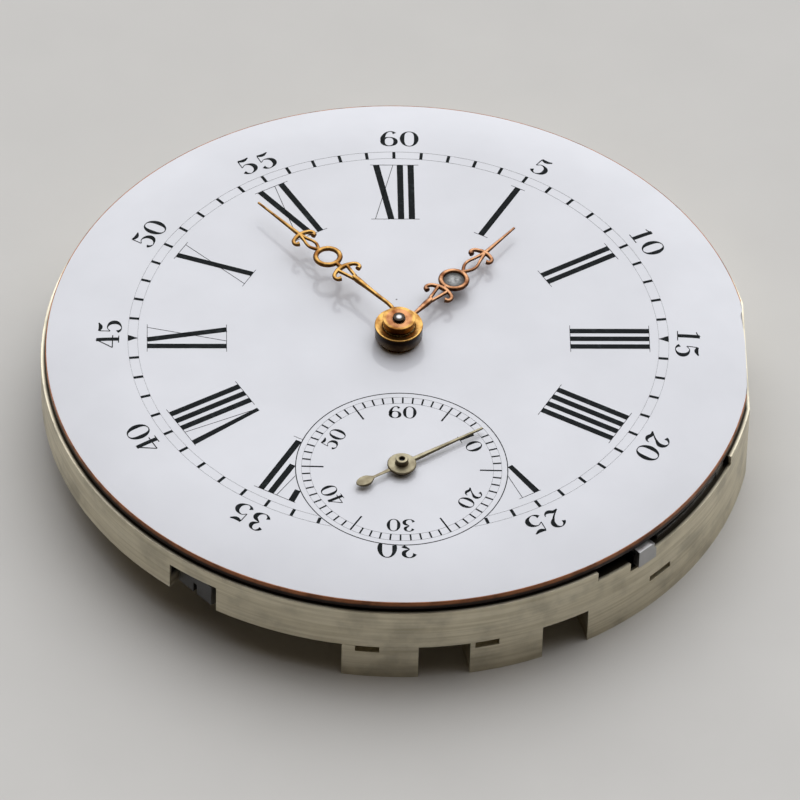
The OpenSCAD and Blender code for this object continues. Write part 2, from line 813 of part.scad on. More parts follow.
module train_recesses() {
    wheel_recess(barrel_at, barrel_tip, barrel_top - wheel_t);
    wheel_recess(centre, centre_tip, centre_wheel_z);
    wheel_recess(third_at, third_tip, third_wheel_z);
    wheel_recess(seconds_axis, fourth_tip, fourth_wheel_z);
    leaf_recess(third_at, third_leaf_tip, third_jewel_z);
    leaf_recess(seconds_axis, fourth_leaf_tip, fourth_jewel_z);
    leaf_recess(escape_at, escape_leaf_tip, escape_jewel_z);
    at(barrel_at)
        disc(arbor_top_r + pivot_gap, plate_z, arbor_hole_top);
    disc(centre_bush_r + pivot_gap, plate_z, far);
    jewel_seat(third_at, third_jewel_z, jewel_r, jewel_t, oil_r);
    jewel_seat(seconds_axis, fourth_jewel_z, jewel_r, jewel_t, oil_r);
    jewel_seat(escape_at, escape_jewel_z, jewel_r, jewel_t, oil_r);
    jewel_seat(pallet_at, plate_z, fine_jewel_r, plate_jewel_t, fine_oil_r);
    at(balance_at)
        disc(fine_jewel_r + press_gap, plate_z - eps, lower_stone_z + endstone_t + stone_gap);
}

module dial_side_recesses() {
    disc(cannon_tip + wheel_room, cannon_floor, far);
    at(minute_axis)
        disc(minute_tip + wheel_room, motion_floor, far);
    at(setting_at) {
        disc(setting_tip + wheel_room, motion_floor, far);
        disc(setting_low_tip + edge_room, setting_low_z - axial_gap, far);
    }
    stem_disc(stem_bore_r, lug_in_x - eps, far);
    pinion_room(plate_z - eps, plate_z + sliding_r + edge_room,
        plate_z - eps, plate_z + winding_tip + winding_room);
    stem_block(groove_x - slide_travel - edge_room, groove_x + groove_w + edge_room,
        tongue_slot_l, plate_z, far);
    key_recess();
}

module fastening_cuts() {
    for (a = notches) {
        sector(notch_in_r, far, a - notch_w / 2, a + notch_w / 2, plate_z - eps, plate_z + notch_h);
        at(polar(case_screw_pos_r, a))
            disc(case_screw_r + press_gap, plate_z, case_screw_top + axial_gap);
    }
    for (a = foot_angles) {
        at(polar(foot_pos_r, a))
            disc(foot_r + foot_gap, plate_top - foot_len - axial_gap, far);
        rotate(a)
            translate([foot_pos_r, 0, foot_screw_z])
                rotate([0, 90, 0])
                    cylinder(r = foot_screw_r + press_gap, h = far);
    }
    for (p = screw_places)
        at(p)
            disc(screw_r + press_gap, plate_z - eps, plate_z + screw_bite);
}

module plate_posts() {
    at(minute_axis)
        disc(post_r, motion_floor - eps, seat_z + edge_room);
    at(setting_at)
        disc(post_r, setting_low_z - axial_gap - eps, plate_top);
    at(yoke_at)
        disc(post_r, key_z - eps, plate_top);
    at(lever_at)
        disc(post_r, key_z - eps, plate_top);
}

module main_plate() {
    color(nickel) {
        difference() {
            union() {
                disc(plate_r, plate_z, plate_top);
                tube(seat_out_r, seat_in_r, plate_top - eps, seat_z);
                stem_block(lug_in_x, flat_x, lug_w, lug_low, plate_z + eps);
            }
            stem_block(flat_x, far, 2 * far, -eps, far);
            train_recesses();
            dial_side_recesses();
            fastening_cuts();
        }
        plate_posts();
    }
}

module bridge_plan(z0, z1) {
    intersection() {
        disc(plate_r, z0, z1);
        translate([0, 0, z0])
            linear_extrude(z1 - z0)
                polygon(barrel_bridge_outline);
    }
}

module barrel_bridge() {
    color(nickel) difference() {
        union() {
            bridge_plan(0, bridge_t);
            difference() {
                bridge_plan(bridge_t - eps, plate_z);
                disc(bridge_in_r, 0, far);
                at(barrel_at)
                    disc(barrel_tip + barrel_window, 0, far);
            }
        }
        stem_block(flat_x, far, 2 * far, -eps, far);
        slot_cuts();
        screw_cuts();
        at(barrel_at) {
            disc(arbor_pivot_r + pivot_gap, -eps, far);
            disc(ratchet_tip + edge_room, -eps, ratchet_z + ratchet_t + axial_gap);
        }
        at(crown_at) {
            disc(crown_tip + edge_room, -eps, core_z);
            disc(crown_screw_r + press_gap, -eps, far);
        }
        pinion_room(bridge_t, far, stem_z - winding_tip - winding_room, far);
        stem_block(lug_in_x - loose_gap, far, lug_w + 2 * loose_gap, lug_low - loose_gap, far);
        link(click_at, click_beak, click_slot_w, -eps, ratchet_z + click_t + axial_gap);
        link(click_spring_tip, click_spring_root, click_spring_slot_w,
             -eps, ratchet_z + click_t + axial_gap);
        jewel_seat(centre, low_jewel_z, jewel_r, far, centre_low_r + pivot_gap);
    }
    color(nickel)
        at(click_at)
            disc(post_r, skin, bridge_t - eps);
}

// Room for the fourth and escape wheels beside the feet of the cocks
module foot_room() {
    at(seconds_axis)
        disc(fourth_tip + wheel_room, bridge_t, far);
    at(escape_at)
        disc(escape_r + wheel_room, bridge_t, far);
}

module third_wheel_cock() {
    color(nickel) difference() {
        union() {
            at(third_at)
                disc(third_boss_r, 0, bridge_t);
            bar(third_at, polar(plate_r - arm_in, third_foot_mid), third_cock_w, 0, bridge_t);
            sector(plate_r - third_foot_deep, plate_r, third_foot[0], third_foot[1], 0, plate_z);
        }
        slot_cuts();
        screw_cuts();
        foot_room();
        jewel_seat(third_at, low_jewel_z, jewel_r, far, low_oil_r);
    }
}

module fourth_wheel_cock() {
    color(nickel) difference() {
        union() {
            at(seconds_axis)
                disc(fourth_boss_r, 0, bridge_t);
            at(escape_at)
                disc(escape_boss_r, 0, bridge_t);
            bar(seconds_axis, polar(plate_r - arm_in, fourth_foot_mid), fourth_cock_w, 0, bridge_t);
            bar(escape_at, polar(plate_r - arm_in, escape_cock_dir), escape_cock_w, 0, bridge_t);
            sector(plate_r - fourth_foot_deep, plate_r, fourth_foot[0], fourth_foot[1], 0, plate_z);
        }
        slot_cuts();
        screw_cuts();
        foot_room();
        jewel_seat(seconds_axis, low_jewel_z, jewel_r, far, low_oil_r);
        jewel_seat(escape_at, low_jewel_z, jewel_r, far, low_oil_r);
    }
}

module pallet_bridge() {
    bridge_top = pallet_bridge_z + pallet_bridge_t;
    color(nickel) difference() {
        union() {
            at(pallet_at)
                disc(pallet_boss_r, pallet_bridge_z, bridge_top);
            for (side = [-1, 1]) {
                bar(pallet_at, pallet_foot(side), pallet_bridge_w, pallet_bridge_z, bridge_top);
                at(pallet_foot(side))
                    disc(pallet_foot_r, pallet_bridge_z, plate_z);
            }
        }
        jewel_seat(pallet_at, pallet_jewel_z, fine_jewel_r, far, fine_oil_r);
    }
}

module balance_cock() {
    color(nickel) difference() {
        union() {
            at(balance_at) {
                disc(cock_end_r, cock_low, cock_top);
                disc(cock_boss_r, skin, cock_top);
            }
            bar(balance_at, polar(plate_r - cock_arm_in, cock_dir), cock_w, cock_low, cock_top);
            sector(plate_r - balance_foot_deep, plate_r, balance_foot[0], balance_foot[1], 0, plate_z);
        }
        screw_cuts();
        at(balance_at)
            disc(fine_jewel_r + press_gap, 0, far);
    }
}

module bridge_screws() {
    color(blued) for (p = screw_places)
        at(p) {
            slotted_head(screw_head_r, screw_head_z, screw_sink, screw_slot_w);
            disc(screw_r, screw_sink - eps, plate_z + screw_bite - axial_gap);
        }
}

module plate_jewels() {
    color(ruby) {
        jewel(third_at, third_jewel_z, jewel_r, jewel_t, pivot_r);
        jewel(seconds_axis, fourth_jewel_z, jewel_r, jewel_t, pivot_r);
        jewel(escape_at, escape_jewel_z, jewel_r, jewel_t, pivot_r);
        jewel(pallet_at, plate_z, fine_jewel_r, plate_jewel_t, fine_pivot_r);
        jewel(balance_at, plate_z, fine_jewel_r, plate_jewel_t, fine_pivot_r);
    }
}

module bridge_jewels() {
    color(ruby) {
        jewel(centre, low_jewel_z, jewel_r, jewel_t, centre_low_r);
        jewel(third_at, low_jewel_z, jewel_r, jewel_t, pivot_r);
        jewel(seconds_axis, low_jewel_z, jewel_r, jewel_t, pivot_r);
        jewel(escape_at, low_jewel_z, jewel_r, jewel_t, pivot_r);
        jewel(pallet_at, pallet_jewel_z, fine_jewel_r, plate_jewel_t, fine_pivot_r);
        jewel(balance_at, cock_top - cock_jewel_t, fine_jewel_r, cock_jewel_t, fine_pivot_r);
    }
}

module balance_endstones() {
    color(ruby) at(balance_at) {
        disc(fine_jewel_r, upper_stone_top - endstone_t, upper_stone_top);
        disc(fine_jewel_r, lower_stone_z, lower_stone_z + endstone_t);
    }
}

module hairspring_stud() {
    color(steel) at(stud_at)
        disc(stud_r, cock_top, hairspring_z + hairspring_h + end_shake);
}

module dial_cuts() {
    stem_block(dial_flat_x, far, 2 * far, 0, far);
    at(seconds_axis)
        disc(seconds_hole_r, plate_top, far);
}

module dial_base() {
    color(copper) {
        difference() {
            rotate_extrude()
                polygon(concat(
                    [[dial_hole_r, dial_under], [hollow_r - hollow_slope, dial_under]],
                    [[hollow_r, seat_z], [dial_r, seat_z]],
                    [[dial_r, face_z - dial_fall], [glaze_r, face_z - dial_fall]],
                    back(fall_points(face_z - enamel_t)),
                    [[dial_hole_r, face_z - enamel_t]]
                ));
            dial_cuts();
        }
        for (a = foot_angles)
            at(polar(foot_pos_r, a))
                disc(foot_r, plate_top - foot_len, seat_z + eps);
    }
}

module dial_enamel() {
    color(enamel) difference() {
        rotate_extrude()
            polygon(concat(
                [[dial_hole_r, face_z - enamel_t]], fall_points(face_z - enamel_t),
                back(fall_points(face_z)), [[dial_hole_r, face_z]]
            ));
        dial_cuts();
    }
}

module dial_foot_screws() {
    color(blued) for (a = foot_angles)
        rotate(a)
            translate([foot_pos_r + foot_r + loose_gap, 0, foot_screw_z])
                rotate([0, 90, 0])
                    difference() {
                        cylinder(r = foot_screw_r, h = foot_screw_len);
                        translate([-foot_slot_w / 2, -foot_screw_r - eps, foot_screw_len - foot_slot_deep])
                            cube([foot_slot_w, 2 * (foot_screw_r + eps), foot_screw_len]);
                    }
}

module case_screws() {
    head_z = plate_z + axial_gap;
    color(steel) for (a = notches)
        at(polar(case_screw_pos_r, a))
            rotate(a + case_screw_turn) {
                difference() {
                    slotted_head(case_screw_head_r, head_z, head_z + case_screw_head_t, screw_slot_w);
                    translate([case_screw_flat, -far / 2, -eps])
                        cube([far, far, far]);
                }
                disc(case_screw_r, head_z + case_screw_head_t - eps, case_screw_top);
            }
}

module click_spring() {
    color(steel) {
        at(click_spring_root)
            disc(click_spring_root_r, ratchet_z, ratchet_z + click_t + axial_gap);
        bar(click_spring_root, click_spring_tip, click_spring_w, ratchet_z, ratchet_z + click_t);
    }
}

// Spring strip along the rim of the setting recess, with the block that holds its end
module rim_spring(strip, block) {
    sector(strip[0], strip[1], strip[2], strip[3], key_z, key_z + strip_h);
    sector(block[0], block[1], block[2], block[3], key_z, key_z + lever_t + block_over);
}

module yoke_spring() {
    color(steel)
        rim_spring(yoke_strip, yoke_block);
}

module setting_spring() {
    color(steel)
        rim_spring(setting_strip, setting_block);
}

module crown_wheel_core() {
    color(steel) at(crown_at) difference() {
        union() {
            disc(core_r, ratchet_z - eps, core_z);
            disc(core_r + core_lip, skin, ratchet_z - skin);
        }
        disc(crown_screw_r + press_gap, -eps, far);
        disc(crown_screw_head_r + end_shake, -eps, crown_screw_sink);
    }
}

module crown_screw() {
    color(blued) at(crown_at) {
        slotted_head(crown_screw_head_r, skin, crown_screw_sink, crown_slot_w);
        disc(crown_screw_r, crown_screw_sink - eps, bridge_t - end_shake);
    }
}

module centre_wheel() {
    color(brass) difference() {
        spoked_wheel(centre_n, centre_m, centre_turn, centre_wheel_z, centre_arms);
        disc(centre_arbor_r + press_gap, 0, far);
    }
}

module centre_arbor() {
    color(steel) {
        disc(centre_low_r, low_jewel_z, arbor_low_z + eps);
        disc(centre_arbor_r, arbor_low_z, centre_wheel_z + wheel_t + loose_gap);
        gear(centre_pinion_n, barrel_m, leaf_form, centre_pinion_turn,
            barrel_teeth_z - end_shake, barrel_teeth_z + barrel_teeth_h + end_shake);
        disc(centre_bush_r, centre_wheel_z, cannon_floor + end_shake);
        disc(centre_tip_r, cannon_floor, minute_hand_z + minute_boss_h + axial_gap);
    }
}

module cannon_pinion() {
    color(steel) difference() {
        union() {
            gear(cannon_n, cannon_m, leaf_form, cannon_turn, cannon_z, plate_top);
            disc(cannon_r, plate_top - eps, minute_hand_z + minute_boss_h - end_shake);
        }
        disc(centre_tip_r + press_gap, 0, far);
    }
}

// Hand blade along +Y: a stem, a ring between two pairs of scrolls, and a tapered point
module hand_blade(len, ring, z) {
    stem_w = ring[3];
    difference() {
        union() {
            translate([-stem_w / 2, blade_start, z])
                cube([stem_w, ring[0] - blade_start, hand_t]);
            at([0, ring[0]])
                disc(ring[1], z, z + hand_t);
            for (side = [-1, 1])
                for (step = [-1, 1])
                    at([horn_r * side, ring[0] + horn_step * step])
                        tube(horn_r, horn_hole, z, z + hand_t);
            translate([0, 0, z])
                linear_extrude(hand_t)
                    polygon([
                        [-stem_w * blade_flare, ring[0]], [stem_w * blade_flare, ring[0]],
                        [point_w / 2, len], [-point_w / 2, len]
                    ]);
        }
        at([0, ring[0]])
            disc(ring[2], 0, far);
    }
}

module minute_hand() {
    color(gilt) difference() {
        union() {
            disc(minute_boss_r, minute_hand_z, minute_hand_z + minute_boss_h);
            rotate(-minute_at)
                hand_blade(minute_len, minute_ring, minute_blade_z);
        }
        disc(cannon_r + press_gap, 0, far);
    }
}

module hour_wheel() {
    color(brass) difference() {
        union() {
            gear(hour_n, hour_m, wheel_form, hour_turn, seat_z, seat_z + hour_wheel_t);
            disc(hour_pipe_r, seat_z, hour_hand_z + hour_boss_h - end_shake);
        }
        disc(hour_bore, 0, far);
    }
}

module hour_hand() {
    color(gilt) difference() {
        union() {
            disc(hour_boss_r, hour_hand_z, hour_hand_z + hour_boss_h);
            rotate(-hour_at)
                hand_blade(hour_len, hour_ring, hour_blade_z);
        }
        disc(hour_pipe_r + press_gap, 0, far);
    }
}

module minute_wheel() {
    color(brass) at(minute_axis) difference() {
        union() {
            gear(minute_n, cannon_m, wheel_form, minute_turn, motion_z, motion_z + motion_t);
            gear(minute_pinion_n, hour_m, leaf_form, minute_pinion_turn,
                motion_z + motion_t - eps, seat_z + hour_wheel_t + end_shake);
        }
        disc(post_r + pivot_gap, 0, far);
    }
}

module setting_wheel() {
    color(steel) at(setting_at) difference() {
        union() {
            gear(setting_n, cannon_m, wheel_form, setting_turn, motion_z, motion_z + motion_t);
            disc(setting_hub_r, setting_low_z, motion_z + eps);
            gear(setting_low_n, cannon_m, wheel_form, 0, setting_low_z, setting_low_z + setting_low_t);
        }
        disc(post_r + pivot_gap, 0, far);
    }
}

// Pinion with its arbor, from the bridge's jewel to the plate's
module train_pinion(n, m, turn, wheel_z, jewel_z, high_tip) {
    arbor(train_arbor_r, arbor_low_z, jewel_z - end_shake, low_jewel_z, high_tip, pivot_r);
    gear(n, m, leaf_form, turn, wheel_z - leaf_over, wheel_z + wheel_t + leaf_over);
}

module train_wheel(n, m, turn, z, arms) {
    difference() {
        spoked_wheel(n, m, turn, z, arms);
        disc(train_arbor_r + press_gap, 0, far);
    }
}

module third_wheel() {
    color(brass) at(third_at)
        train_wheel(third_n, third_m, third_turn, third_wheel_z, third_arms);
}

module third_pinion() {
    color(steel) at(third_at)
        train_pinion(third_pinion_n, centre_m, third_pinion_turn, centre_wheel_z, third_jewel_z,
            third_jewel_z + jewel_t);
}

module fourth_wheel() {
    color(brass) at(seconds_axis)
        train_wheel(fourth_n, fourth_m, fourth_turn, fourth_wheel_z, fourth_arms);
}

module fourth_pinion() {
    color(steel) at(seconds_axis)
        train_pinion(fourth_pinion_n, third_m, fourth_pinion_turn, third_wheel_z, fourth_jewel_z,
            seconds_hand_z + fourth_drop);
}

module seconds_hand() {
    color(gilt) at(seconds_axis) difference() {
        union() {
            disc(seconds_pipe_r, seconds_pipe_low, seconds_hand_z + seconds_pipe_h);
            disc(seconds_boss_r, seconds_hand_z, seconds_hand_z + seconds_boss_t);
            rotate(-seconds_at) {
                translate([0, 0, seconds_hand_z])
                    linear_extrude(seconds_t)
                        polygon([
                            [-seconds_w / 2, 0], [seconds_w / 2, 0],
                            [seconds_tip_w / 2, seconds_len], [-seconds_tip_w / 2, seconds_len]
                        ]);
                translate([-tail_w / 2, tail_lap - tail_len, seconds_hand_z])
                    cube([tail_w, tail_len - tail_lap, seconds_t]);
                at([0, -tail_len])
                    disc(tail_r, seconds_hand_z, seconds_hand_z + seconds_t);
            }
        }
        disc(pivot_r + press_gap, 0, far);
    }
}

// Club tooth of the escape wheel, leaning forward
function club(i) =
    let (p = 360 / escape_n, c = i * p)
    [
        polar(escape_r - club_deep, c - 0.32 * p), polar(escape_r - 0.3, c - 0.04 * p),
        polar(escape_r - 0.04, c), polar(escape_r, c + 0.16 * p), polar(escape_r - 0.28, c + 0.13 * p),
        polar(escape_r - club_deep, c + 0.16 * p)
    ];

module escape_wheel() {
    step = 360 / escape_arms;
    color(steel) at(escape_at) difference() {
        translate([0, 0, escape_wheel_z])
            linear_extrude(wheel_t)
                polygon([for (i = [0:escape_n - 1]) each club(i)]);
        disc(train_arbor_r + press_gap, 0, far);
        for (i = [0:escape_arms - 1])
            sector(escape_hub_r, escape_open_r, step * i + escape_arm_half,
                step * (i + 1) - escape_arm_half, 0, far);
    }
}

module escape_pinion() {
    color(steel) at(escape_at)
        train_pinion(escape_pinion_n, fourth_m, escape_pinion_turn, fourth_wheel_z, escape_jewel_z,
            escape_jewel_z + jewel_t);
}

module barrel_drum() {
    color(brass) at(barrel_at) difference() {
        union() {
            disc(drum_r, drum_floor, barrel_top);
            gear(barrel_n, barrel_m, wheel_form, barrel_turn,
                 barrel_teeth_z, barrel_teeth_z + barrel_teeth_h);
        }
        disc(drum_r - barrel_wall, 0, drum_roof);
        disc(arbor_top_r + pivot_gap, 0, far);
    }
}

module barrel_cover() {
    color(brass) at(barrel_at)
        tube(drum_r, arbor_pivot_r + pivot_gap, barrel_low, drum_floor);
}

module mainspring() {
    color(blued) at(barrel_at)
        translate([0, 0, drum_floor + axial_gap])
            linear_extrude(drum_roof - drum_floor - 2 * axial_gap)
                polygon(spiral(mainspring_turns, mainspring_in, mainspring_out, mainspring_t, spiral_steps));
}

module square_prism(w, z0, z1) {
    translate([-w / 2, -w / 2, z0])
        cube([w, w, z1 - z0]);
}

module barrel_arbor() {
    color(steel) at(barrel_at) difference() {
        union() {
            square_prism(arbor_square, ratchet_z, ratchet_z + ratchet_t + eps);
            disc(arbor_pivot_r, ratchet_z + ratchet_t, drum_floor + axial_gap);
            disc(arbor_core_r, drum_floor + end_shake, drum_roof - end_shake);
            disc(arbor_top_r, drum_roof - axial_gap, arbor_hole_top - end_shake);
        }
        disc(ratchet_screw_r + press_gap, 0, ratchet_screw_len + axial_gap);
    }
}

module ratchet_wheel() {
    color(steel) at(barrel_at) difference() {
        gear(ratchet_n, winding_m, wheel_form, ratchet_turn, ratchet_z, ratchet_z + ratchet_t);
        square_prism(arbor_square + 2 * press_gap, 0, far);
    }
}

module ratchet_screw() {
    color(blued) at(barrel_at) {
        slotted_head(ratchet_screw_head_r, skin, ratchet_z - stone_gap, screw_slot_w);
        disc(ratchet_screw_r, ratchet_z - eps, ratchet_screw_len);
    }
}

module crown_wheel() {
    color(steel) at(crown_at) difference() {
        gear(crown_n, winding_m, wheel_form, crown_turn, ratchet_z, ratchet_z + crown_t);
        disc(core_r + pivot_gap, 0, far);
        for (i = [0:crown_n - 1])
            rotate(i * 360 / crown_n)
                translate([crown_tip - contrate_deep, -contrate_w / 2, core_z - winding_dip - 2 * axial_gap])
                    cube([far, contrate_w, far]);
    }
}

// Leaf of the winding pinion, in the plane across the stem
function winding_leaf(i) =
    let (p = 360 / winding_n, c = i * p - 90, root = winding_tip - winding_leaf_h)
    [
        polar(root, c - 0.2 * p), polar(winding_tip, c - 0.13 * p),
        polar(winding_tip, c + 0.13 * p), polar(root, c + 0.2 * p)
    ];

// Radial cuts that leave a crown of ratchet teeth on the face at x
module face_tooth_cuts(x) {
    for (i = [0:face_teeth - 1])
        translate([x, 0, stem_z])
            rotate([360 * i / face_teeth, 0, 0])
                translate([-face_tooth_deep, face_tooth_in, 0])
                    cube([2 * face_tooth_deep, far, face_tooth_w]);
}

module winding_pinion() {
    color(steel) difference() {
        union() {
            translate([winding_x + winding_face, 0, stem_z])
                rotate([90, 0, 90])
                    linear_extrude(winding_len - winding_face)
                        polygon([for (i = [0:winding_n - 1]) each winding_leaf(i)]);
            stem_disc(winding_tip - winding_leaf_h - eps, winding_x, winding_x + winding_len + axial_gap);
            stem_disc(winding_collar_r, winding_x + winding_len, lug_in_x - axial_gap);
        }
        stem_disc(sliding_bore + end_shake, 0, far);
        face_tooth_cuts(winding_x);
    }
}

module sliding_pinion() {
    color(steel) difference() {
        union() {
            stem_disc(sliding_r, sliding_in_x, groove_x);
            stem_disc(groove_r, groove_x - eps, groove_x + groove_w + eps);
            stem_disc(sliding_r, groove_x + groove_w, sliding_out_x);
        }
        stem_disc(sliding_bore, 0, far);
        face_tooth_cuts(sliding_in_x);
        face_tooth_cuts(sliding_out_x);
    }
}

module setting_lever() {
    color(steel) difference() {
        union() {
            at(lever_at)
                disc(lever_hub_r, lever_z, lever_top);
            bar(lever_at, nib_root, lever_w, lever_z, lever_top);
            bar(finger_from, finger_to, finger_w, lever_z, lever_top);
            rotate(nib_dir) {
                translate([plate_r - nib_in, -nib_w / 2, lever_z])
                    cube([nib_in, nib_w, lever_t]);
                translate([plate_r - nib_lip, -nib_w / 2, 0])
                    rotate([90, 0, 90])
                        linear_extrude(nib_lip + nib_out)
                            polygon(nib_face);
            }
        }
        at(lever_at)
            disc(post_r + pivot_gap, 0, far);
    }
}

module yoke() {
    tongue_z = stem_z + groove_r + axial_gap;
    color(steel) difference() {
        union() {
            at(yoke_at)
                disc(yoke_hub_r, lever_z, lever_top);
            bar(yoke_at, yoke_tip + [0, yoke_end], yoke_w, lever_z, lever_top);
            stem_block(groove_x + tongue_gap, groove_x + groove_w - tongue_gap,
                tongue_l, tongue_z, lever_top + eps);
        }
        at(yoke_at)
            disc(post_r + pivot_gap, 0, far);
    }
}

module click() {
    color(steel) difference() {
        union() {
            at(click_at)
                disc(click_hub_r, ratchet_z, ratchet_z + click_t);
            bar(click_at, click_beak, click_w, ratchet_z, ratchet_z + click_t);
        }
        at(click_at)
            disc(post_r + pivot_gap, 0, far);
        at(barrel_at)
            disc(ratchet_tip + click_gap, 0, far);
    }
}

module stone(side) {
    p = stone_at(side);
    translate([p[0], p[1], fork_z])
        rotate(dir(p, escape_at))
            translate([-stone_back, -stone_w / 2, 0])
                cube([stone_l, stone_w, fork_t]);
}

module pallet_lever() {
    color(steel) difference() {
        union() {
            at(pallet_at)
                disc(pallet_hub_r, fork_z, fork_z + fork_t);
            bar(pallet_at, beside_lever(lever_bar_len, 0), lever_bar_w, fork_z, fork_z + fork_t);
            for (side = [-1, 1]) {
                bar(pallet_at, pallet_arm(side), pallet_arm_w, fork_z, fork_z + fork_t);
                bar(fork_from(side), fork_to(side), horn_w, fork_z, fork_z + fork_t);
            }
        }
        at(pallet_at)
            disc(pallet_arbor_r + press_gap, 0, far);
        for (side = [-1, 1])
            stone(side);
    }
}

module pallet_stones() {
    color(ruby) for (side = [-1, 1])
        stone(side);
}

module pallet_arbor() {
    color(steel) at(pallet_at)
        arbor(pallet_arbor_r, pallet_bridge_z + pallet_bridge_t + skin, plate_z - end_shake,
            pallet_jewel_z, plate_z + plate_jewel_t, fine_pivot_r);
}

module balance_wheel() {
    color(brass) at(balance_at) difference() {
        union() {
            tube(balance_r, balance_r - balance_rim_w, rim_z, rim_z + balance_rim_h);
            disc(balance_hub_r, arm_z, arm_z + arm_t);
            rotate(cock_line + balance_arm_turn)
                translate([balance_rim_w / 2 - balance_r, -arm_w / 2, arm_z])
                    cube([2 * balance_r - balance_rim_w, arm_w, arm_t]);
        }
        disc(staff_r + press_gap, 0, far);
    }
}

module balance_screws() {
    color(gilt) at(balance_at)
        for (i = [0:balance_screw_n - 1])
            rotate(cock_line + (i + 0.5) * 360 / balance_screw_n)
                translate([balance_r, 0, rim_z + balance_rim_h / 2])
                    rotate([0, 90, 0])
                        cylinder(r = balance_screw_r, h = balance_screw_len);
}

module balance_staff() {
    color(steel) at(balance_at)
        arbor(staff_r, cock_top + end_shake, plate_z - end_shake,
            cock_top - cock_jewel_t, plate_z + plate_jewel_t, fine_pivot_r);
}

module roller_table() {
    color(steel) at(balance_at) difference() {
        disc(roller_r, roller_z, roller_z + roller_t);
        disc(staff_r + press_gap, 0, far);
        at(impulse_pos)
            disc(impulse_r + press_gap, 0, far);
    }
}

module impulse_jewel() {
    color(ruby) at(balance_at + impulse_pos)
        disc(impulse_r, roller_z, impulse_top);
}

module hairspring() {
    color(blued) at(balance_at)
        translate([0, 0, hairspring_z])
            rotate(hairspring_turn)
                linear_extrude(hairspring_h)
                    polygon(spiral(hairspring_turns, hairspring_in, hairspring_out, hairspring_t,
                        spiral_steps));
}

module hairspring_collet() {
    color(brass) at(balance_at)
        tube(collet_r, staff_r + press_gap, hairspring_z - collet_over,
            hairspring_z + hairspring_h + collet_over);
}

module regulator() {
    color(steel) at(balance_at) difference() {
        union() {
            disc(regulator_r, skin, regulator_top);
            bar(centre, polar(index_len, cock_line + index_turn), index_w, skin, regulator_top);
            bar(centre, polar(hairspring_out + curb_pin_r, cock_line + 180), curb_w, skin, regulator_top);
            for (side = [-1, 1])
                at(polar(curb_r + curb_pin_off * side, cock_line + 180))
                    disc(curb_pin_r, regulator_top - eps, hairspring_z + hairspring_h + end_shake);
        }
        disc(cock_boss_r + pivot_gap, 0, far);
    }
}

main_plate();
barrel_bridge();
third_wheel_cock();
fourth_wheel_cock();
pallet_bridge();
balance_cock();
bridge_screws();
plate_jewels();
bridge_jewels();
balance_endstones();
hairspring_stud();
dial_base();
dial_enamel();
dial_foot_screws();
case_screws();
click_spring();
yoke_spring();
setting_spring();
crown_wheel_core();
crown_screw();
centre_wheel();
centre_arbor();
cannon_pinion();
minute_hand();
hour_wheel();
hour_hand();
minute_wheel();
setting_wheel();
third_wheel();
third_pinion();
fourth_wheel();
fourth_pinion();
seconds_hand();
escape_wheel();
escape_pinion();
barrel_drum();
barrel_cover();
mainspring();
barrel_arbor();
ratchet_wheel();
ratchet_screw();
crown_wheel();
winding_pinion();
sliding_pinion();
setting_lever();
yoke();
click();
pallet_lever();
pallet_stones();
pallet_arbor();
balance_wheel();
balance_screws();
balance_staff();
roller_table();
impulse_jewel();
hairspring();
hairspring_collet();
regulator();
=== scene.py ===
"""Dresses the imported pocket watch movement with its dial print, hands, springs, finishes and stage."""

import json
import math

import bpy
from bpy.props import FloatProperty, FloatVectorProperty, IntProperty, PointerProperty
from mathutils import Matrix, Vector


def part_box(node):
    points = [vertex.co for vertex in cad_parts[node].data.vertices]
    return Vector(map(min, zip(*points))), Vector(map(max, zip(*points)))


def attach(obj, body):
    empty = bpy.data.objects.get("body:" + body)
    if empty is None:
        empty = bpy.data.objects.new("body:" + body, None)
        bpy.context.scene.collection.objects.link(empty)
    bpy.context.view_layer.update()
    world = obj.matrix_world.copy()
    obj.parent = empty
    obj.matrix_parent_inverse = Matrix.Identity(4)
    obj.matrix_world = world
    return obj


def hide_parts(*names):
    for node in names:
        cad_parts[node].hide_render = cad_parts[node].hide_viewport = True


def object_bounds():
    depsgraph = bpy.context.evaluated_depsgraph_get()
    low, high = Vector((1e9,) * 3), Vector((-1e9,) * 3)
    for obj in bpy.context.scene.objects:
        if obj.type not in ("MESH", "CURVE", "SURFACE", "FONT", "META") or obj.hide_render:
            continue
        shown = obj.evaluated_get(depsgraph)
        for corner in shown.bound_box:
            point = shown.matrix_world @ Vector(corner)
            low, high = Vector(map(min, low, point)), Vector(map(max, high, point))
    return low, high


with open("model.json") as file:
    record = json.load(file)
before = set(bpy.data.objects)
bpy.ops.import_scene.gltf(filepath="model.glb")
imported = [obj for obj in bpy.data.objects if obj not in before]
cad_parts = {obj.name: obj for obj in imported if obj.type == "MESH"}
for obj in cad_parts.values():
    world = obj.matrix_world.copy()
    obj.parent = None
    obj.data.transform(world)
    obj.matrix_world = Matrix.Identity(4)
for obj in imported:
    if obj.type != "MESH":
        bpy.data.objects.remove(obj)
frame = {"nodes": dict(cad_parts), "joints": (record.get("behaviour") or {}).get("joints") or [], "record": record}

bl_info = {
    "name": "Pocket Watch Movement",
    "version": (1, 0, 0),
    "blender": (4, 5, 0),
    "location": "View3D > Sidebar > Watch",
    "description": "Builds the dial, hands, springs, finishes and stage of a pocket watch movement",
    "category": "Object",
}

MM = 0.001
CAD_BOX = [list(corner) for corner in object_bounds()]
JOINT_AT = {joint["name"]: Vector(joint["pos_m"]) for joint in frame["joints"] if "pos_m" in joint}
CENTRE = Vector((0, 0))
SECONDS_CENTRE = JOINT_AT["seconds_hand_turn"].xy
ENAMEL_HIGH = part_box("dial_enamel")[1]

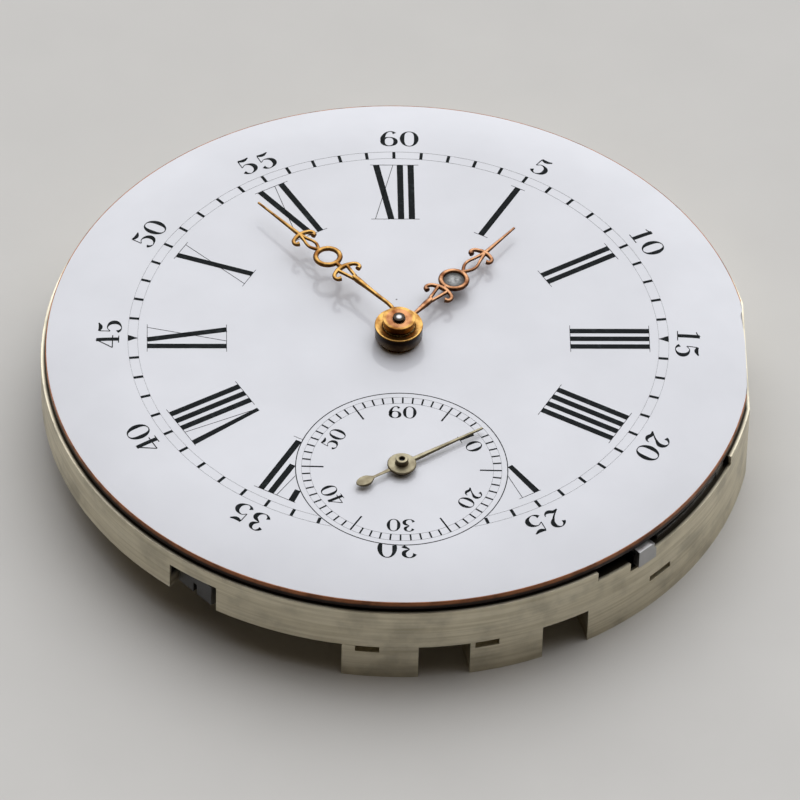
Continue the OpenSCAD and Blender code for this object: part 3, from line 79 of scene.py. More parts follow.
# The main plate's limits in millimetres, for the patterns of the finishes.
PLATE_LOW, PLATE_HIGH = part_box("main_plate")
PLATE_RADIUS = -PLATE_LOW.x / MM
PLATE_FLAT = PLATE_HIGH.x / MM
PLATE_UNDERSIDE = PLATE_LOW.z / MM
DIAL_SEAT = PLATE_HIGH.z / MM

# Limits in millimetres between which darkening fades: painted shade on the nickel at the rim, under the dial and
# below a ledge, and the copper's darkening above the seat.
RIM_FADE = PLATE_RADIUS - 0.22, PLATE_RADIUS - 0.08
RECESS_FADE = 3.6, 3.2
LEDGE_FADE = PLATE_UNDERSIDE - 0.1, PLATE_UNDERSIDE
SEAT_FADE = DIAL_SEAT + 0.06, DIAL_SEAT + 0.2

BLACK, WHITE = (0, 0, 0, 1), (1, 1, 1, 1)

# A mix node's colour sockets, which follow those for numbers and vectors.
MIX_COLOUR, MIX_TINT, MIX_RESULT = 6, 7, 2

# Points closer than this are one point, on a turned piece and on a swept one.
TURNED_GAP, SWEPT_GAP = 1e-7, 1e-8

# Angles in degrees up to which a piece is shaded smooth: round pieces, flat strips and print.
ROUND_SMOOTH, FLAT_SMOOTH, PRINT_SMOOTH = 40, 30, 20

# Steps between two knots of a stroke: of a hand, of its short joints, of the leaf on its tail and of a spring.
HAND_STEPS, JOINT_STEPS, LEAF_STEPS, SPRING_STEPS = 8, 4, 10, 3

DIAL_SEGMENTS, TURNED_SEGMENTS, SECONDS_SEGMENTS, FILLING_SEGMENTS = 240, 96, 64, 48
FLAT_STEPS, FALL_STEPS, UNDER_SKIP = 8, 22, 3
LIP_SHARE = 0.3
DRILL_LENGTH = 4 * MM
PRINT_ABOVE = 1 * MM

ROMAN_HOURS = ["XII", "I", "II", "III", "IIII", "V", "", "VII", "VIII", "IX", "X", "XI"]

# A letter is a width, whether its foot has a serif, and strokes of (x, y, pen width), as shares of its height.
ROMAN_LETTERS = {
    "I": (0.138, True, [[(0, 0, 0.08), (0, 1, 0.08)]]),
    "V": (0.25, False, [[(-0.1, 1, 0.08), (0.005, 0, 0.055)], [(0.11, 1, 0.0075), (0.015, 0, 0.0075)]]),
    "X": (0.285, True, [[(-0.095, 1, 0.08), (0.085, 0, 0.08)], [(0.122, 1, 0.0075), (-0.118, 0, 0.0075)]]),
}
ROMAN_SERIF_PEN = 0.0065
ROMAN_SERIF_REACH = 0.03

# A figure is a list of strokes of (x, y, pen width), as shares of its height; a closed stroke ends where it began.
FIGURES = {
    "0": [[(0.57, 0.5, 0.2), (0.33, 0.98, 0.035), (0.09, 0.5, 0.2), (0.33, 0.02, 0.035), (0.57, 0.5, 0.2)]],
    "1": [[(0.34, 0.02, 0.19), (0.34, 0.96, 0.19)],
          [(0.34, 0.97, 0.05), (0.24, 0.86, 0.05), (0.13, 0.82, 0.04)],
          [(0.12, 0.02, 0.04), (0.56, 0.02, 0.04)]],
    "2": [[(0.13, 0.74, 0.17), (0.16, 0.86, 0.11), (0.32, 0.98, 0.04), (0.5, 0.76, 0.2), (0.38, 0.45, 0.09),
           (0.1, 0.08, 0.04)],
          [(0.09, 0.07, 0.07), (0.24, 0.14, 0.15), (0.42, 0.06, 0.17), (0.56, 0.14, 0.06), (0.58, 0.24, 0.04)]],
    "3": [[(0.12, 0.78, 0.17), (0.17, 0.9, 0.1), (0.32, 0.98, 0.04), (0.48, 0.77, 0.18), (0.3, 0.54, 0.04)],
          [(0.3, 0.54, 0.04), (0.53, 0.28, 0.21), (0.32, 0.02, 0.04), (0.15, 0.1, 0.1), (0.1, 0.22, 0.17)]],
    "4": [[(0.44, 0.98, 0.05), (0.05, 0.28, 0.045)],
          [(0.05, 0.28, 0.045), (0.62, 0.28, 0.045)],
          [(0.44, 0.97, 0.19), (0.44, 0.02, 0.19)],
          [(0.28, 0.02, 0.04), (0.6, 0.02, 0.04)]],
    "5": [[(0.16, 0.96, 0.1), (0.34, 0.9, 0.17), (0.54, 0.98, 0.06)],
          [(0.16, 0.95, 0.04), (0.13, 0.5, 0.04)],
          [(0.13, 0.5, 0.04), (0.32, 0.61, 0.05), (0.54, 0.32, 0.21), (0.31, 0.02, 0.04), (0.15, 0.09, 0.1),
           (0.1, 0.2, 0.17)]],
    "6": [[(0.56, 0.3, 0.19), (0.34, 0.58, 0.035), (0.12, 0.3, 0.2), (0.34, 0.02, 0.035), (0.56, 0.3, 0.19)],
          [(0.52, 0.84, 0.16), (0.47, 0.93, 0.1), (0.36, 0.98, 0.04), (0.14, 0.62, 0.17), (0.12, 0.3, 0.19)]],
}
FIGURE_ADVANCE = 0.88
FIGURE_STRETCH = 1.28
FIVE_DROP = 0.1

# Steps between two knots of a printed stroke, enough for it to follow the dial's fall.
ROMAN_STEPS, SERIF_STEPS, TICK_STEPS, FIGURE_STEPS, LINE_STEPS = 80, 20, 12, 8, 4
RING_KNOTS = 72

MINUTE = math.radians(6)
HAIRLINE, RING_PEN, TICK_PEN, SECONDS_TICK_PEN = 0.009 * MM, 0.055 * MM, 0.19 * MM, 0.1 * MM
QUARTER_HEAD, QUARTER_FOOT = 2.6, 0.2
SECONDS_TICK_REACH = 0.8 * MM

# The curled end of a hand's cross bar: (along, across) as shares of the bar's reach, and the width in millimetres.
BAR_END = [(-0.72, 0.66, 0.34), (-0.63, 0.87, 0.26), (-0.34, 0.87, 0.26), (-0.07, 0.47, 0.28)]
BAR_MIDDLE = 0.32
BAR_REACH, BARB_REACH = 1 * MM, 0.82 * MM

# Cross-sections of the hands: (across, up) as shares of a stroke's width.
WIRE_SECTION = [(0.5 * math.cos(math.radians(turn)), 0.46 * math.sin(math.radians(turn)))
                for turn in range(0, 360, 30)]
LEAF_SECTION = [(-0.5, -0.06), (0.5, -0.06), (0.42, 0.07), (0, 0.15), (-0.42, 0.07)]
RIDGE_SECTION = [(-0.5, -0.1), (0.5, -0.1), (0.44, 0.02), (0.24, 0.2), (-0.24, 0.2), (-0.44, 0.02)]

# Radii of a hand's ring, half widths of its loop and heights of its blade above its foot.
HOUR_RING, HOUR_LOOP, HOUR_LEVEL = 0.78 * MM, 0.34 * MM, 0.69 * MM
MINUTE_RING, MINUTE_LOOP, MINUTE_LEVEL = 0.73 * MM, 0.25 * MM, 0.28 * MM

# Profiles of the hands' turned parts: (radius, rise) in millimetres from the foot, the head, the disc or blade.
HOUR_BOSS_FOOT = [(0.97, 0), (1.38, 0), (1.42, 0.05)]
HOUR_BOSS_HEAD = [(1.42, -0.14), (1.45, -0.11), (1.45, -0.05), (1.43, -0.01), (1.39, 0), (1.3, -0.03),
                  (1.06, -0.05), (1.0, -0.07), (0.97, -0.12)]
HOUR_RING_FILLING = [(0.01, -0.06), (0.66, -0.06), (0.72, -0.02), (0.66, 0.01), (0.5, -0.01), (0.01, 0)]
MINUTE_BOSS_FOOT = [(0.57, 0), (0.92, 0), (0.96, 0.04)]
MINUTE_BOSS_HEAD = [(0.95, -0.1), (0.98, -0.07), (0.975, -0.02), (0.93, 0), (0.87, -0.005), (0.8, -0.03),
                    (0.5, -0.035), (0.42, -0.04), (0.37, -0.046), (0.57, -0.12)]
SECONDS_PIPE_FOOT = [(0.16, 0), (0.36, 0), (0.38, 0.04)]
SECONDS_DISC = [(0.38, 0), (0.8, 0), (0.86, 0.03), (0.86, 0.12), (0.81, 0.16), (0.42, 0.16), (0.38, 0.2)]
SECONDS_PIPE_HEAD = [(0.38, -0.05), (0.34, 0), (0.2, 0), (0.16, -0.04)]
SECONDS_DISC_DROP, SECONDS_BLADE_RISE = 0.55 * MM, 0.06 * MM

# The seconds hand's tail: (along, width) in millimetres, the start from the axis and the leaf from its own middle.
SECONDS_TAIL_START = (-0.6, 0.28)
SECONDS_LEAF = [(0.68, 0.2), (0.52, 0.36), (0.3, 0.68), (0, 0.82), (-0.3, 0.68), (-0.5, 0.36), (-0.57, 0.1)]

# Turns back from the hairspring's outer end to the regulator's pins and to the start of its fixed part.
PIN_TURN, FIXED_TURN = math.radians(180), math.radians(255)
PIN_APPROACH = math.radians(30)
WINDING_STEP = math.radians(15)

# Tints of painted shade that darken gilding down its sides, tints of patina that darken it in patches, and the
# copper that shows where it is rubbed.
GILT_PAINTED_SHADE, GILT_PATCH = (0.3, 0.22, 0.16, 1), (0.4, 0.28, 0.2, 1)
ROSE_PAINTED_SHADE, ROSE_PATCH = (0.2, 0.14, 0.11, 1), (0.35, 0.25, 0.2, 1)
DULL_PAINTED_SHADE, DULL_PATCH = (0.5, 0.44, 0.42, 1), (0.8, 0.77, 0.75, 1)
# The darkest tint of painted shade, for the sides of the hour hand's boss.
DARK_PAINTED_SHADE = (0.02, 0.012, 0.01, 1)
RUBBED_COPPER = (0.42, 0.2, 0.09, 1)
MINUTE_RUBBED_RADIUS = 0.78

FLOOR_SIZE = 3
SENSOR_WIDTH = 36
CLIP_START, CLIP_END = 10 * MM, 10

# Nodes whose finish isn't the one of their material slot.
NODE_FINISHES = {
    "case_screws": "dark_steel", "fourth_pinion": "dark_steel", "centre_arbor": "tipped_steel",
    "balance_wheel": "brass", "balance_screws": "brass"}


class DialSettings(bpy.types.PropertyGroup):
    """Sizes and colours of the enamel dial and its print."""

    crown_radius: FloatProperty(
        name="Crown radius", description="Radius at which the face starts to fall away",
        default=16.6 * MM, unit="LENGTH")
    hole_radius: FloatProperty(
        name="Centre hole", description="Radius of the hole for the hour pipe", default=1.2 * MM, unit="LENGTH")
    seconds_hole_radius: FloatProperty(
        name="Seconds hole", description="Radius of the hole for the seconds hand's pipe",
        default=0.6 * MM, unit="LENGTH")
    edge_radius: FloatProperty(
        name="Edge radius", description="Radius of the enamel's edge, which covers the copper's lip",
        default=21.12 * MM, unit="LENGTH")
    edge_round: FloatProperty(
        name="Edge round", description="Round of the enamel along its rim and holes",
        default=0.07 * MM, unit="LENGTH")
    enamel_thickness: FloatProperty(
        name="Enamel thickness", description="Thickness of the enamel on its copper base",
        default=0.33 * MM, unit="LENGTH")
    fall: FloatProperty(
        name="Fall", description="Drop of the enamel from the face to the rim", default=0.75 * MM, unit="LENGTH")
    ink_lift: FloatProperty(
        name="Ink thickness", description="Thickness of the fired print", default=0.008 * MM, unit="LENGTH")
    track_inner: FloatProperty(
        name="Track inner line", description="Radius of the minute track's inner line",
        default=15.62 * MM, unit="LENGTH")
    track_outer: FloatProperty(
        name="Track outer line", description="Radius of the minute track's outer line",
        default=16.21 * MM, unit="LENGTH")
    hour_inner: FloatProperty(
        name="Hours inner radius", description="Radius of the feet of the Roman hours",
        default=10.3 * MM, unit="LENGTH")
    hour_outer: FloatProperty(
        name="Hours outer radius", description="Radius of the heads of the Roman hours",
        default=15.05 * MM, unit="LENGTH")
    figure_turn: FloatProperty(
        name="Minute figures turn", description="Clockwise turn of the minute figures from their ticks",
        default=math.radians(1.2), subtype="ANGLE")
    figure_inner: FloatProperty(
        name="Minute figures inner radius", description="Radius of the feet of the minute figures",
        default=16.72 * MM, unit="LENGTH")
    figure_outer: FloatProperty(
        name="Minute figures outer radius", description="Radius of the heads of the minute figures",
        default=18.14 * MM, unit="LENGTH")
    seconds_turn: FloatProperty(
        name="Seconds dial turn", description="Clockwise turn of the seconds dial's print",
        default=math.radians(1.7), subtype="ANGLE")
    seconds_ring: FloatProperty(
        name="Seconds ring", description="Radius of the line round the seconds dial",
        default=6.27 * MM, unit="LENGTH")
    seconds_track_inner: FloatProperty(
        name="Seconds track inner line", description="Radius of the seconds track's inner line",
        default=5.42 * MM, unit="LENGTH")
    seconds_track_outer: FloatProperty(
        name="Seconds track outer line", description="Radius of the seconds track's outer line",
        default=5.92 * MM, unit="LENGTH")
    seconds_figure_inner: FloatProperty(
        name="Seconds figures inner radius", description="Radius of the feet of the seconds figures",
        default=4.17 * MM, unit="LENGTH")
    seconds_figure_outer: FloatProperty(
        name="Seconds figures outer radius", description="Radius of the heads of the seconds figures",
        default=5.17 * MM, unit="LENGTH")
    enamel_colour: FloatVectorProperty(
        name="Enamel colour", description="Colour of the fired enamel", subtype="COLOR", size=4,
        default=(0.68, 0.69, 0.735, 1), min=0, max=1)
    ink_colour: FloatVectorProperty(
        name="Ink colour", description="Colour of the print", subtype="COLOR", size=4,
        default=(0.007, 0.009, 0.010, 1), min=0, max=1)


class HandSettings(bpy.types.PropertyGroup):
    """Angles of the three hands and the places of their ornaments, measured along the hand from its axis."""

    minute_clock: FloatProperty(
        name="Minute hand angle", description="Clockwise angle of the minute hand from 12 o'clock",
        default=math.radians(319.9), subtype="ANGLE")
    minute_offset: FloatProperty(
        name="Minute hand offset", description="Sideways set of the minute hand's bent stem",
        default=0.48 * MM, unit="LENGTH")
    minute_fork: FloatProperty(
        name="Minute hand fork", description="Place where the minute hand's stem divides",
        default=4.3 * MM, unit="LENGTH")
    minute_bar: FloatProperty(
        name="Minute hand cross bar", description="Place of the minute hand's first cross bar",
        default=5.78 * MM, unit="LENGTH")
    minute_eye: FloatProperty(
        name="Minute hand ring", description="Place of the middle of the minute hand's ring",
        default=7.06 * MM, unit="LENGTH")
    minute_barb: FloatProperty(
        name="Minute hand barb", description="Place of the minute hand's second cross bar",
        default=9.65 * MM, unit="LENGTH")
    minute_length: FloatProperty(
        name="Minute hand length", description="Length of the minute hand", default=13.5 * MM, unit="LENGTH")
    minute_drop: FloatProperty(
        name="Minute hand drop", description="Drop of the minute hand towards its tip",
        default=0.5 * MM, unit="LENGTH")
    hour_clock: FloatProperty(
        name="Hour hand angle", description="Clockwise angle of the hour hand from 12 o'clock",
        default=math.radians(38.9), subtype="ANGLE")
    hour_fork: FloatProperty(
        name="Hour hand fork", description="Place where the hour hand's stem divides",
        default=2.8 * MM, unit="LENGTH")
    hour_bar: FloatProperty(
        name="Hour hand cross bar", description="Place of the hour hand's first cross bar",
        default=4.38 * MM, unit="LENGTH")
    hour_eye: FloatProperty(
        name="Hour hand ring", description="Place of the middle of the hour hand's ring",
        default=5.4 * MM, unit="LENGTH")
    hour_barb: FloatProperty(
        name="Hour hand barb", description="Place of the hour hand's second cross bar",
        default=8.49 * MM, unit="LENGTH")
    hour_length: FloatProperty(
        name="Hour hand length", description="Length of the hour hand", default=11.4 * MM, unit="LENGTH")
    hour_drop: FloatProperty(
        name="Hour hand drop", description="Drop of the hour hand towards its tip",
        default=0.3 * MM, unit="LENGTH")
    seconds_clock: FloatProperty(
        name="Seconds hand angle", description="Clockwise angle of the seconds hand from 12 o'clock",
        default=math.radians(58), subtype="ANGLE")
    seconds_length: FloatProperty(
        name="Seconds hand length", description="Length of the seconds hand's needle",
        default=5.7 * MM, unit="LENGTH")
    seconds_tail: FloatProperty(
        name="Seconds hand tail", description="Distance of the middle of the seconds hand's tail from its axis",
        default=2.6 * MM, unit="LENGTH")


class SpringSettings(bpy.types.PropertyGroup):
    """Winding of the hairspring and the mainspring."""

    hairspring_turns: IntProperty(
        name="Hairspring turns", description="Turns of the hairspring's swinging part", default=11, min=6)
    hairspring_strip: FloatProperty(
        name="Hairspring strip", description="Thickness of the hairspring's strip",
        default=0.05 * MM, unit="LENGTH")
    hairspring_swing_radius: FloatProperty(
        name="Hairspring swing radius", description="Radius of the part that swings inside the regulator's pins",
        default=3.52 * MM, unit="LENGTH")
    hairspring_pin_radius: FloatProperty(
        name="Hairspring pin radius", description="Radius where the fixed end passes between the pins",
        default=3.935 * MM, unit="LENGTH")
    mainspring_turns: IntProperty(
        name="Mainspring turns", description="Turns of the mainspring", default=10, min=7)
    mainspring_strip: FloatProperty(
        name="Mainspring strip", description="Thickness of the mainspring's strip",
        default=0.16 * MM, unit="LENGTH")


class FinishSettings(bpy.types.PropertyGroup):
    """Colours of the metals and stones."""

    nickel: FloatVectorProperty(
        name="Nickel silver", description="Colour of the frosted plate and bridges", subtype="COLOR", size=4,
        default=(0.75, 0.695, 0.55, 1), min=0, max=1)
    gilt: FloatVectorProperty(
        name="Gilt", description="Colour of the minute hand and the bosses", subtype="COLOR", size=4,
        default=(0.5, 0.29, 0.085, 1), min=0, max=1)
    rose_gilt: FloatVectorProperty(
        name="Rose gilt", description="Colour of the hour hand", subtype="COLOR", size=4,
        default=(0.46, 0.24, 0.125, 1), min=0, max=1)
    pale_gilt: FloatVectorProperty(
        name="Pale gilt", description="Colour of the seconds hand", subtype="COLOR", size=4,
        default=(0.285, 0.255, 0.175, 1), min=0, max=1)
    brass: FloatVectorProperty(
        name="Brass", description="Colour of the wheels", subtype="COLOR", size=4,
        default=(0.76, 0.56, 0.24, 1), min=0, max=1)
    steel: FloatVectorProperty(
        name="Steel", description="Colour of the polished steel", subtype="COLOR", size=4,
        default=(0.45, 0.45, 0.455, 1), min=0, max=1)
    blue: FloatVectorProperty(
        name="Blued steel", description="Colour of the blued screws and springs", subtype="COLOR", size=4,
        default=(0.035, 0.06, 0.22, 1), min=0, max=1)
    copper: FloatVectorProperty(
        name="Copper", description="Colour of the dial's oxidised base", subtype="COLOR", size=4,
        default=(0.4, 0.135, 0.04, 1), min=0, max=1)
    ruby: FloatVectorProperty(
        name="Ruby", description="Colour of the jewels", subtype="COLOR", size=4,
        default=(0.42, 0.012, 0.06, 1), min=0, max=1)


class StageSettings(bpy.types.PropertyGroup):
    """Camera, sky and floor."""

    elevation: FloatProperty(
        name="Elevation", description="Camera's height above the horizon", default=math.radians(45.13),
        subtype="ANGLE")
    azimuth: FloatProperty(
        name="Azimuth", description="Camera's turn round the object", default=math.radians(-2.18), subtype="ANGLE")
    roll: FloatProperty(
        name="Roll", description="Camera's tilt about its own axis", default=math.radians(1.64), subtype="ANGLE")
    distance: FloatProperty(
        name="Distance", description="Camera's distance from its target", default=527.5 * MM, unit="LENGTH")
    lens: FloatProperty(
        name="Lens", description="Focal length in millimetres on a 36 mm sensor", default=398.9)
    target: FloatVectorProperty(
        name="Target", description="Point that the camera looks at", size=3, subtype="TRANSLATION",
        default=(0, -5.2 * MM, 6.77 * MM))
    floor_colour: FloatVectorProperty(
        name="Floor colour", description="Colour of the floor", subtype="COLOR", size=4,
        default=(0.585, 0.575, 0.555, 1), min=0, max=1)
    sky_low: FloatProperty(
        name="Dim sky", description="Strength of the light from the front and the horizon", default=0.06)
    sky_high: FloatProperty(
        name="Bright sky", description="Strength of the light from above and behind", default=2.55)
    sky_edge: FloatProperty(
        name="Sky edge", description="Cosine of the angle from the bright side at which the light is dim",
        default=0.42)
    sky_side: FloatVectorProperty(
        name="Bright side", description="Direction that most of the light comes from", size=3, subtype="DIRECTION",
        default=(0.14, 0.62, 0.77))
    bright_colour: FloatVectorProperty(
        name="Bright sky colour", description="Colour of the light from above and behind", subtype="COLOR", size=4,
        default=(0.97, 0.98, 1, 1), min=0, max=1)
    dim_colour: FloatVectorProperty(
        name="Dim sky colour", description="Colour of the light from the front and the horizon", subtype="COLOR",
        size=4, default=(1, 0.8, 0.58, 1), min=0, max=1)


def deselect():
    """Leaves nothing selected, as every new piece starts from that."""
    if bpy.context.object and bpy.context.object.mode != "OBJECT":
        bpy.ops.object.mode_set(mode="OBJECT")
    bpy.ops.object.select_all(action="DESELECT")


def select_only(piece):
    """Makes one object the selected and active one."""
    deselect()
    piece.select_set(True)
    bpy.context.view_layer.objects.active = piece


def edit_all(piece):
    """Opens a piece in edit mode with everything selected."""
    select_only(piece)
    bpy.ops.object.mode_set(mode="EDIT")
    bpy.ops.mesh.select_all(action="SELECT")


def edit_only(piece, kind, wanted):
    """Opens a piece in edit mode with only the wanted ones of its vertices or polygons selected."""
    edit_all(piece)
    bpy.ops.mesh.select_all(action="DESELECT")
    bpy.ops.object.mode_set(mode="OBJECT")
    for element in getattr(piece.data, kind):
        element.select = wanted(element)
    bpy.ops.object.mode_set(mode="EDIT")


def close_up(piece, gap):
    """Merges the points of a piece that are closer than a gap, and turns its faces outwards."""
    edit_all(piece)
    bpy.ops.mesh.remove_doubles(threshold=gap)
    bpy.ops.mesh.normals_make_consistent(inside=False)
    bpy.ops.object.mode_set(mode="OBJECT")


def apply_modifier(piece, kind, **values):
    """Adds a modifier, sets its values and applies it."""
    select_only(piece)
    modifier = piece.modifiers.new(kind.title(), kind)
    for name, value in values.items():
        setattr(modifier, name, value)
    bpy.ops.object.modifier_apply(modifier=modifier.name)


def finish_piece(piece, body, material, smooth, nodes=()):
    """Smooths a piece up to an angle, gives it its material and has it ride on its body for its CAD nodes."""
    select_only(piece)
    bpy.ops.object.shade_smooth_by_angle(angle=math.radians(smooth))
    piece.data.materials.clear()
    piece.data.materials.append(material)
    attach(piece, body)
    if nodes:
        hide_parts(*nodes)


def join(name, pieces):
    """Joins pieces into the first one and names it."""
    select_only(pieces[0])
    for piece in pieces:
        piece.select_set(True)
    bpy.ops.object.join()
    pieces[0].name = name
    return pieces[0]


def turned(name, centre, profile, segments=TURNED_SEGMENTS):
    """Turns a closed profile of (radius, height) about an upright axis at centre."""
    deselect()
    radius, height = profile[0]
    bpy.ops.mesh.primitive_circle_add(vertices=segments, radius=radius, location=(*centre, height))
    piece = bpy.context.object
    piece.name = name
    bpy.ops.object.transform_apply(location=True, rotation=True, scale=True)
    edit_all(piece)
    for next_radius, next_height in [*profile[1:], profile[0]]:
        bpy.ops.mesh.extrude_region_move(TRANSFORM_OT_translate={"value": (0, 0, next_height - height)})
        grow = next_radius / radius
        bpy.ops.transform.resize(value=(grow, grow, 1), center_override=(*centre, next_height))
        radius, height = next_radius, next_height
    close_up(piece, TURNED_GAP)
    return piece


def risen(profile, height):
    """A profile of (radius, rise) in millimetres, set at a height."""
    return [(radius * MM, height + rise * MM) for radius, rise in profile]


def clock_place(centre, clock):
    """Returns a function that puts (across, outward) at a clock angle round a centre."""
    outward = Vector((math.sin(clock), math.cos(clock)))
    across = Vector((math.cos(clock), -math.sin(clock)))
    return lambda x, y: centre + across * x + outward * y


def new_curve(name):
    """An empty 3D curve whose cross-section stays upright."""
    curve = bpy.data.curves.new(name, "CURVE")
    curve.dimensions = "3D"
    curve.twist_mode = "Z_UP"
    return curve


def add_stroke(curve, points, steps=HAND_STEPS):
    """Adds a smooth line of (x, y, z, width) points; one that ends where it began is closed."""
    closed = len(points) > 2 and (Vector(points[0][:3]) - Vector(points[-1][:3])).length < 1e-9
    points = points[:-1] if closed else points
    spline = curve.splines.new("BEZIER")
    spline.bezier_points.add(len(points) - 1)
    for knot, (x, y, z, width) in zip(spline.bezier_points, points):
        knot.co = (x, y, z)
        knot.radius = width
        knot.handle_left_type = "AUTO"
        knot.handle_right_type = "AUTO"
    spline.use_cyclic_u = closed
    spline.resolution_u = steps
    spline.radius_interpolation = "CARDINAL"


def swept(curve, section, closed_section=True):
    """Sweeps a section of (across, up) points, as shares of the stroke's width, along a curve, as a mesh."""
    profile = new_curve("section")
    line = profile.splines.new("POLY")
    line.points.add(len(section) - 1)
    for point, (across, up) in zip(line.points, section):
        point.co = (across, up, 0, 1)
    line.use_cyclic_u = closed_section
    profile_object = bpy.data.objects.new("section", profile)
    piece = bpy.data.objects.new(curve.name, curve)
    for made in (profile_object, piece):
        bpy.context.scene.collection.objects.link(made)
    curve.bevel_mode = "OBJECT"
    curve.bevel_object = profile_object
    curve.use_fill_caps = closed_section
    select_only(piece)
    bpy.ops.object.convert(target="MESH")
    piece = bpy.context.object
    bpy.data.objects.remove(profile_object)
    close_up(piece, SWEPT_GAP)
    return piece


def feed(material, node, *values, **named):
    """Sets a node's inputs, in their order or by name, or links them to other nodes' outputs."""
    sockets = [*node.inputs[:len(values)], *(node.inputs[name.replace("_", " ")] for name in named)]
    for socket, value in zip(sockets, [*values, *named.values()]):
        if isinstance(value, bpy.types.NodeSocket):
            material.node_tree.links.new(value, socket)
        else:
            socket.default_value = value
    return node


def add_node(material, kind, settings=None, *values, **named):
    """Adds a shader node with its settings and feeds its inputs."""
    made = material.node_tree.nodes.new(kind)
    for name, value in (settings or {}).items():
        setattr(made, name, value)
    return feed(material, made, *values, **named)


def new_material(name, colour, **named):
    """A material and its shader, with the constants on the shader's own sockets."""
    material = bpy.data.materials.new(name)
    material.use_nodes = True
    return material, feed(material, material.node_tree.nodes["Principled BSDF"], Base_Color=colour, **named)


def maths(material, operation, *values):
    """The result of a sum or a comparison of values."""
    return add_node(material, "ShaderNodeMath", {"operation": operation}, *values).outputs["Value"]


def part_of(material, vector, axis):
    """The part of a vector along one axis."""
    return add_node(material, "ShaderNodeSeparateXYZ", Vector=vector).outputs[axis]


def surface_normal(material):
    """The direction that the surface faces."""
    return add_node(material, "ShaderNodeNewGeometry").outputs["Normal"]


def mm_place(material, stretch=(1, 1, 1)):
    """Object coordinates in millimetres, stretched as a pattern needs."""
    coordinates = add_node(material, "ShaderNodeTexCoord")
    mapping = add_node(material, "ShaderNodeMapping", Vector=coordinates.outputs["Object"],
                       Scale=[share / MM for share in stretch])
    return mapping.outputs["Vector"]


def from_axis(material, centre=CENTRE):
    """The distance in millimetres from an upright axis, by default the dial's."""
    return add_node(material, "ShaderNodeVectorMath", {"operation": "DISTANCE"}, mm_place(material, (1, 1, 0)),
                    (centre.x / MM, centre.y / MM, 0)).outputs["Value"]


def noise(material, size, detail=3, stretch=(1, 1, 1)):
    """Cloudy noise whose lumps are size millimetres across."""
    made = add_node(material, "ShaderNodeTexNoise", Vector=mm_place(material, stretch), Scale=1 / size,
                    Detail=detail)
    return made.outputs["Fac"]


def progress(material, value, low, high):
    """How far a value has come from one limit to the other, from 0 to 1."""
    return add_node(material, "ShaderNodeMapRange", Value=value, From_Min=low, From_Max=high).outputs["Result"]


def spread(material, pattern, low, high):
    """Spreads a pattern's middle range from low to high."""
    made = add_node(material, "ShaderNodeMapRange", Value=pattern, From_Min=0.3, From_Max=0.7, To_Min=low,
                    To_Max=high)
    return made.outputs["Result"]


def ramp(material, factor, stops):
    """A colour ramp of (place, colour) stops."""
    made = add_node(material, "ShaderNodeValToRGB", Fac=factor)
    elements = made.color_ramp.elements
    for element, (place, colour) in zip(elements, stops):
        element.position = place
        element.color = colour
    for place, colour in stops[len(elements):]:
        elements.new(place).color = colour
    return made.outputs["Color"]


def tinted(material, colour, tint, amount=1):
    """A colour multiplied by a tint, in full or by an amount."""
    mixed = add_node(material, "ShaderNodeMix", {"data_type": "RGBA", "blend_type": "MULTIPLY"}, amount)
    material.node_tree.links.new(colour, mixed.inputs[MIX_COLOUR])
    material.node_tree.links.new(tint, mixed.inputs[MIX_TINT])
    return mixed.outputs[MIX_RESULT]


def relief(material, height, depth, normal=None):
    """A bump of a depth in millimetres, over another normal if one is given."""
    under = {"Normal": normal} if normal else {}
    return add_node(material, "ShaderNodeBump", Height=height, Strength=1, Distance=depth * MM,
                    **under).outputs["Normal"]


def soft_edges(material, radius=0.03):
    """A normal that rounds sharp edges by a radius in millimetres."""
    return add_node(material, "ShaderNodeBevel", {"samples": 4}, Radius=radius * MM).outputs["Normal"]


def shade(colour, factor):
    """A colour made darker or lighter."""
    return [min(1, channel * factor) for channel in colour[:3]] + [1]


def metal(name, colour, roughness, grain, mottle=0.85, depth=0.0006):
    """Metal with a fine grain, faint clouding, uneven polish and soft edges."""
    material, shader = new_material(name, colour, Metallic=1.0)
    cloud = noise(material, 2.2, detail=4)
    fine = noise(material, grain)
    feed(material, shader,
         Base_Color=ramp(material, cloud, [(0.3, shade(colour, mottle)), (0.7, colour)]),
         Roughness=spread(material, fine, roughness * 0.75, roughness * 1.25),
         Normal=relief(material, fine, depth, soft_edges(material)))
    return material


def worn_gilt(name, colour, roughness, side, patch, rubbed_radius=-1):
    """Gilding, with painted shade down its sides and patina in patches by the given tints, and rubbed to copper
    round the axis.
    """
    material, shader = new_material(name, colour, Metallic=1.0)
    rubbed = progress(material, from_axis(material), rubbed_radius - 0.05, rubbed_radius + 0.05)
    plated = ramp(material, rubbed, [(0, RUBBED_COPPER), (1, colour)])
    # Painted shade: the more a surface faces sideways, the more the side tint darkens it.
    facing = maths(material, "ABSOLUTE", part_of(material, surface_normal(material), "Z"))
    painted_side_shade = ramp(material, facing, [(0.1, side), (0.85, WHITE)])
    cloud = noise(material, 0.7, detail=4)
    patina = ramp(material, cloud, [(0.36, patch), (0.58, WHITE)])
    feed(material, shader,
         Base_Color=tinted(material, tinted(material, plated, patina), painted_side_shade),
         Roughness=spread(material, cloud, roughness * 1.25, roughness * 0.75),
         Normal=relief(material, noise(material, 0.15), 0.002, soft_edges(material)))
    return material


def tipped_steel(colour):
    """Steel of the centre arbor: a bright middle in a dark burnt ring."""
    material, shader = new_material("tipped_steel", colour, Metallic=1.0, Roughness=0.25)
    burnt = (0.035, 0.028, 0.022, 1)
    away = progress(material, from_axis(material), 0, 0.5)
    feed(material, shader,
         Base_Color=ramp(material, away, [(0.2, shade(colour, 0.9)), (0.4, burnt), (0.9, burnt)]),
         Normal=soft_edges(material, 0.12))
    return material


